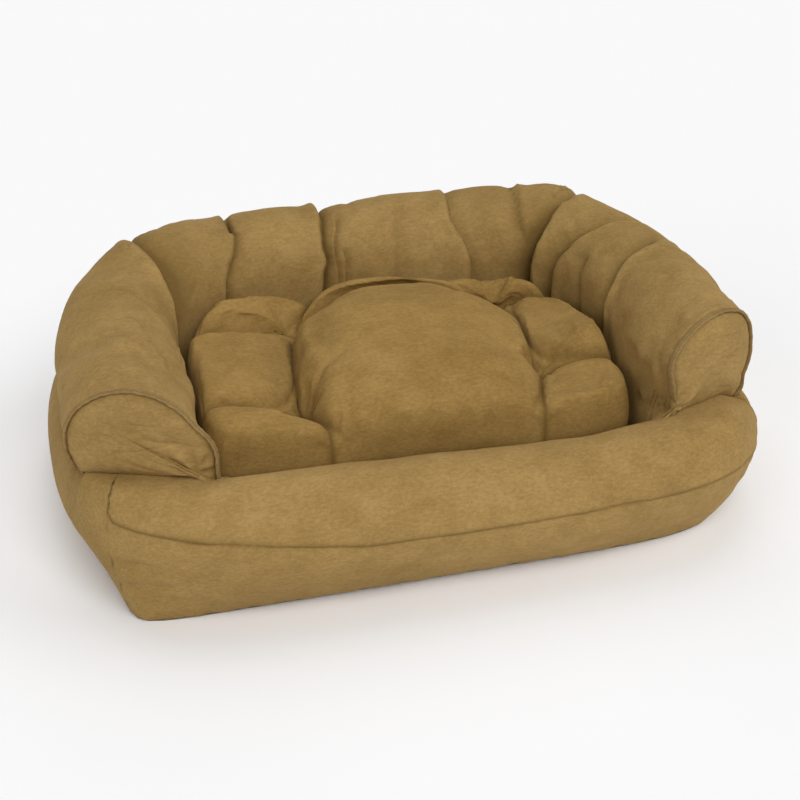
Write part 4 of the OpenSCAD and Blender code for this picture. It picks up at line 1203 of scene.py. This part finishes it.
class Tree:
    """The nodes of a material or a world. A value is a number, a colour, a vector or another node's output."""

    def __init__(self, owner):
        owner.use_nodes = True
        self.nodes, self.links = owner.node_tree.nodes, owner.node_tree.links
        self.nodes.clear()

    def feed(self, socket, value):
        if isinstance(value, bpy.types.NodeSocket):
            self.links.new(value, socket)
        elif socket.type == "RGBA":
            socket.default_value = (*value, 1)
        else:
            socket.default_value = value

    def add(self, kind, inputs, **settings):
        """A new node of this kind, with its settings and its inputs, by name or place."""
        node = self.nodes.new("ShaderNode" + kind)
        for key, value in settings.items():
            setattr(node, key, value)
        for key, value in inputs.items():
            self.feed(node.inputs[key], value)
        return node

    def end(self, kind, inputs, output="OutputMaterial"):
        """The shader, joined to the tree's output."""
        self.add(output, {0: self.add(kind, inputs).outputs[0]})

    def math(self, operation, *values, clamp=False):
        return self.add("Math", dict(enumerate(values)), operation=operation, use_clamp=clamp).outputs[0]

    def total(self, *terms):
        """The sum of values, each times its share."""
        out = 0.0
        for value, share in terms:
            out = self.math("MULTIPLY_ADD", value, share, out)
        return out

    def spread(self, value, middle, gain):
        """The value with more contrast round its middle."""
        return self.math("MULTIPLY_ADD", self.math("SUBTRACT", value, middle), gain, 0.5, clamp=True)

    def objects(self, shift=0.0):
        """Places on the object, moved to another part of the pattern."""
        vec = self.add("TexCoord", {}).outputs["Object"]
        return self.add("Mapping", {0: vec, "Location": (shift, shift * 0.7, shift * 1.3)}).outputs[0] if shift else vec

    def noise(self, vec, scale, detail=3, rough=0.6, stretch=None):
        if stretch:
            vec = self.add("Mapping", {0: vec, "Scale": stretch}).outputs[0]
        inputs = {"Vector": vec, "Scale": scale, "Detail": detail, "Roughness": rough}
        return self.add("TexNoise", inputs).outputs["Fac"]

    def wave(self, vec, direction, inputs):
        return self.add("TexWave", {"Vector": vec, **inputs}, bands_direction=direction).outputs["Fac"]

    def ramp(self, fac, *stops):
        node = self.add("ValToRGB", {0: fac})
        elements = node.color_ramp.elements
        for element, (place, colour) in zip(elements, (stops[0], stops[-1])):
            element.position, element.color = place, (*colour, 1)
        for place, colour in stops[1:-1]:
            elements.new(place).color = (*colour, 1)
        return node.outputs[0]

    def mixed(self, fac, a, b, blend="MIX"):
        return self.add("Mix", {0: fac, 6: a, 7: b}, data_type="RGBA", blend_type=blend).outputs[2]

    def bump(self, height, strength, distance):
        return self.add("Bump", {"Height": height, "Strength": strength, "Distance": distance}).outputs[0]


def suede(name, light=(173, 144, 91), dark=(145, 118, 69), shift=0.0):
    """Faux suede: a brushed nap, with painted shade, darker and warmer, in the seams and tucks."""
    m = bpy.data.materials.new(name)
    t = Tree(m)
    vec = t.objects(shift)
    # broad clouds, hand-sized patches, short streaks, mottles, grain and fibres
    cloud = t.noise(vec, 6.5, rough=0.55)
    patch = t.noise(vec, 26, 4, 0.62)
    streak = t.noise(vec, 60, stretch=(0.35, 1.0, 1.5))
    mottle = t.noise(vec, 230, rough=0.7, stretch=(0.6, 1.0, 1.2))
    grain = t.noise(vec, 520, 2)
    fibre = t.noise(vec, 1500, 2, 0.65, (1.0, 0.55, 1.0))
    fac = t.total((patch, 0.30), (cloud, 0.42), (streak, 0.16), (grain, 0.16), (mottle, 0.62))
    middle = [(p + q) / 2 for p, q in zip(dark, light)]
    colour = t.ramp(t.spread(fac, 0.83, 3.0), (0.0, lin(*dark)), (0.5, lin(*middle)), (1.0, lin(*light)))
    fine = t.ramp(t.spread(grain, 0.5, 0.9), (0.0, lin(88, 70, 42)), (1.0, lin(196, 170, 122)))
    colour = t.mixed(0.16, colour, fine, "OVERLAY")
    # painted shade: darker and warmer where the cloth lies deep in a seam, a tuck or a fold, or is turned under
    hollow = t.add("Attribute", {}, attribute_name="hollow").outputs["Fac"]
    colour = t.mixed(t.math("MULTIPLY", hollow, 0.75, clamp=True), colour, lin(100, 76, 34))
    height = t.total((fibre, 0.35), (grain, 0.5), (streak, 0.35))
    t.end("BsdfPrincipled", {
        "Base Color": colour, "Roughness": t.math("MULTIPLY_ADD", patch, 0.10, 0.84, clamp=True),
        "Specular IOR Level": 0.12, "Sheen Weight": 0.06, "Sheen Roughness": 0.42,
        "Sheen Tint": lin(232, 206, 150), "Normal": t.bump(height, 0.55, 0.0011)})
    return m


def woven(name, a, b, scale, depth):
    """Plain weave: threads over and under each other."""
    m = bpy.data.materials.new(name)
    t = Tree(m)
    vec = t.objects()
    x, y, z = [t.wave(vec, direction, {"Scale": scale / 6.3, "Distortion": 0.6}) for direction in "XYZ"]
    k = t.math("MULTIPLY", x, t.math("MULTIPLY_ADD", z, 0.5, 0.5))
    k = t.math("MAXIMUM", k, t.math("MULTIPLY", y, 0.8))
    uneven = t.ramp(t.noise(vec, 30, 4), (0.3, lin(*shade(a, 0.72))), (0.7, lin(*b)))
    colour = t.mixed(0.35, t.mixed(k, lin(*a), lin(*b)), uneven)
    t.end("BsdfPrincipled", {"Base Color": colour, "Roughness": 0.85, "Sheen Weight": 0.15,
                             "Normal": t.bump(k, 0.6, depth)})
    return m


def metal(name, colour):
    """Brushed metal, a little darker in places."""
    m = bpy.data.materials.new(name)
    t = Tree(m)
    brushed = t.noise(t.objects(), 900, stretch=(0.2, 1, 1))
    worn = t.mixed(t.noise(t.objects(), 160), lin(*colour), lin(*shade(colour, 0.8)))
    t.end("BsdfPrincipled", {"Base Color": worn, "Metallic": 1.0, "Normal": t.bump(brushed, 0.2, 0.0002),
                             "Roughness": t.math("MULTIPLY_ADD", brushed, 0.25, 0.22)})
    return m


def thread(name, colour):
    """Twisted sewing thread."""
    m = bpy.data.materials.new(name)
    t = Tree(m)
    twist = t.wave(t.objects(), "DIAGONAL", {"Scale": 420})
    t.end("BsdfPrincipled", {"Base Color": t.mixed(twist, lin(*shade(colour, 0.75)), lin(*colour)),
                             "Roughness": 0.7, "Normal": t.bump(twist, 0.6, 0.0002)})
    return m


# ---------- camera, floor and light ----------
def placed(name, data, location, rotation):
    ob = bpy.data.objects.new(name, data)
    ob.location = location
    ob.rotation_euler = rotation
    scene.collection.objects.link(ob)
    return ob


def set_camera():
    """The photo's camera: angles in radians, lengths in metres, and the focal length in pixels of its picture."""
    azimuth, height, distance, focal, picture, sensor = -0.2613, 0.5361, 2.2558, 1436.28, 800, 36.0
    target = Vector((0.0237, 0.018, 0.0881))
    back = Vector((np.sin(azimuth) * np.cos(height), -np.cos(azimuth) * np.cos(height), np.sin(height)))
    cam = bpy.data.cameras.new("camera")
    cam.sensor_fit = "HORIZONTAL"
    cam.sensor_width = sensor
    cam.lens = focal / picture * sensor
    cam.clip_start, cam.clip_end = 0.05, 60
    scene.camera = placed("camera", cam, target + back * distance, (-back).to_track_quat("-Z", "Y").to_euler())


def set_stage():
    """A wide floor of white paper, just under the sofa."""
    s, under = 9000, 0.5
    floor = mesh_object("floor", [(-s, -s, 0), (s, -s, 0), (s, s, 0), (-s, s, 0)], [(0, 1, 2, 3)])
    floor.location.z = -under * MM
    m = bpy.data.materials.new("floor_paper")
    Tree(m).end("BsdfDiffuse", {"Color": lin(252, 252, 253)})
    floor.data.materials.append(m)
    scene.view_settings.view_transform = "Standard"


# How bright the surroundings are as light, and as a background
WORLD, WHITE = 0.10, 0.95
# Each is a wide soft light: where it comes from round the sofa (0 is the front, 90 its right), how high,
# how wide it looks, and its strength
SUNS = [
    ("front", 4, 47, 45, 1.78),
    ("back", 180, 60, 60, 0.95),
    ("left", -60, 25, 45, 0.60),
    ("right", 80, 28, 45, 0.80),
]


def set_light():
    """A dim studio that looks white from the camera and in reflections, and the soft lights."""
    scene.world = bpy.data.worlds.new("studio")
    t = Tree(scene.world)
    path_ = t.add("LightPath", {}).outputs
    seen = t.math("MAXIMUM", path_["Is Camera Ray"], path_["Is Glossy Ray"])
    seen = t.math("MAXIMUM", seen, path_["Is Transmission Ray"])
    strength = t.math("MULTIPLY_ADD", seen, WHITE - WORLD, WORLD)
    t.end("Background", {"Color": (1, 1, 1), "Strength": strength}, "OutputWorld")
    for name, azimuth, height, spread, power in SUNS:
        sun = bpy.data.lights.new(name, "SUN")
        sun.angle = np.radians(spread)
        sun.energy = power
        way = Vector((sin(azimuth) * cos(height), -cos(azimuth) * cos(height), sin(height)))
        placed(name, sun, way * 3, way.to_track_quat("Z", "Y").to_euler())


# ---------- the object ----------
def dress(ob, mat, body, slot, *nodes, fill=None):
    ob.data.materials.append(mat)
    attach(ob, body)
    if nodes:
        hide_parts(*nodes)
    return ob


cover = suede("suede_cover")
# the seat's suede is a darker, warmer copy of the cover's: painted shade for the cushion down in the well
seat_suede_shaded = suede("suede_seat_shaded", light=(167, 137, 82), dark=(139, 111, 60), shift=3.1)
welt_cloth = suede("suede_welt", light=(156, 130, 85), dark=(132, 108, 66), shift=7.7)
canvas = woven("base_canvas", (96, 80, 52), (122, 103, 70), scale=520, depth=0.0006)
tape = woven("zip_weave", (98, 80, 48), (124, 103, 64), scale=1500, depth=0.0003)
nickel = metal("satin_nickel", (196, 196, 192))
sewing = thread("sewing_thread", (128, 100, 54))

set_camera()
set_stage()
set_light()

made = split_bolster(*make_bolster())
for name, nodes in (("left_arm", ("left_arm_sleeve", "left_arm_fill")),
                    ("right_arm", ("right_arm_sleeve", "right_arm_fill")),
                    ("left_corner", ("left_corner_sleeve",)), ("right_corner", ("right_corner_sleeve",)),
                    ("back", ("back_sleeve", "back_bolster_fill"))):
    dress(made[name], cover, "sofa", "suede", *nodes, fill=0.8)

for side, name in ((-1, "left"), (1, "right")):
    dress(make_cap(side), cover, "sofa", "suede", name + "_arm_cap", fill=0.7)
    line, up, run = welt_line(side)
    dress(make_welt(side, line, run), welt_cloth, "sofa", "welt_thread", name + "_cap_welt")
    out = mirrored(CAP_OUT, side)
    dress(stitches("welt_stitches_" + name, line + out * 2.2 + up * 2.3, up + out * 0.6),
          sewing, "sofa", "welt_thread")

dress(cloth_piece("front_rail", *make_rail(), flip=True), cover, "sofa", "suede",
      "front_rail_panel", "front_roll_fill", fill=0.8)
dress(cloth_piece("side_and_front_band_cover", *make_band()), cover, "sofa", "suede",
      "side_and_front_band", "left_wall_fill", "right_wall_fill", fill=0.8)
dress(cloth_piece("back_upper_cover", *make_back_panel(1)), cover, "sofa", "suede",
      "back_upper_panel", "back_wall_fill", fill=0.7)
dress(cloth_piece("back_lower_cover", *make_back_panel(0)), cover, "sofa", "suede", "back_lower_panel", fill=0.7)
for side, name in ((-1, "left"), (1, "right")):
    dress(cloth_piece("zip_end_" + name, make_zip_end(side)), tape, "sofa", "zip_tape")

DECK_INSET = 14
bottom = dress(flat_piece("base_bottom", 0, 0.0), canvas, "sofa", "base_cloth", "bottom_panel")
deck = dress(flat_piece("well_deck", DECK_INSET, BASE_Z + PAD_H + SEAM_GAP), canvas, "sofa", "base_cloth",
             "well_lining", "base_pad")
for piece, inset, held, rests_on in ((bottom, 0, "stretched", []), (deck, DECK_INSET, "laid", ["base_pad"])):
    edge = foot_outline(np.linspace(0, 360, 200, endpoint=False), inset) * MM
    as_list(rests_on)

dress(cloth_piece("cushion_top", *make_cushion_top()), seat_suede_shaded, "seat_cushion", "suede", "cushion_top_cover",
      "cushion_centre_fill", "cushion_border_fills", "cushion_tuft_ties", fill=0.85)
dress(make_cushion_bottom(), seat_suede_shaded, "seat_cushion", "suede", "cushion_bottom_cover", fill=0.85)

for name, mat in (("cover_zip_tapes", tape), ("cover_zip_chain", tape), ("cover_zip_stops", nickel),
                  ("cover_zip_slider", nickel), ("cover_zip_pull", nickel)):
    ob = frame["nodes"][name]
    ob = bpy.data.objects[ob] if isinstance(ob, str) else ob
    if ob.material_slots:
        for s in ob.material_slots:
            s.material = mat
    else:
        ob.data.materials.append(mat)
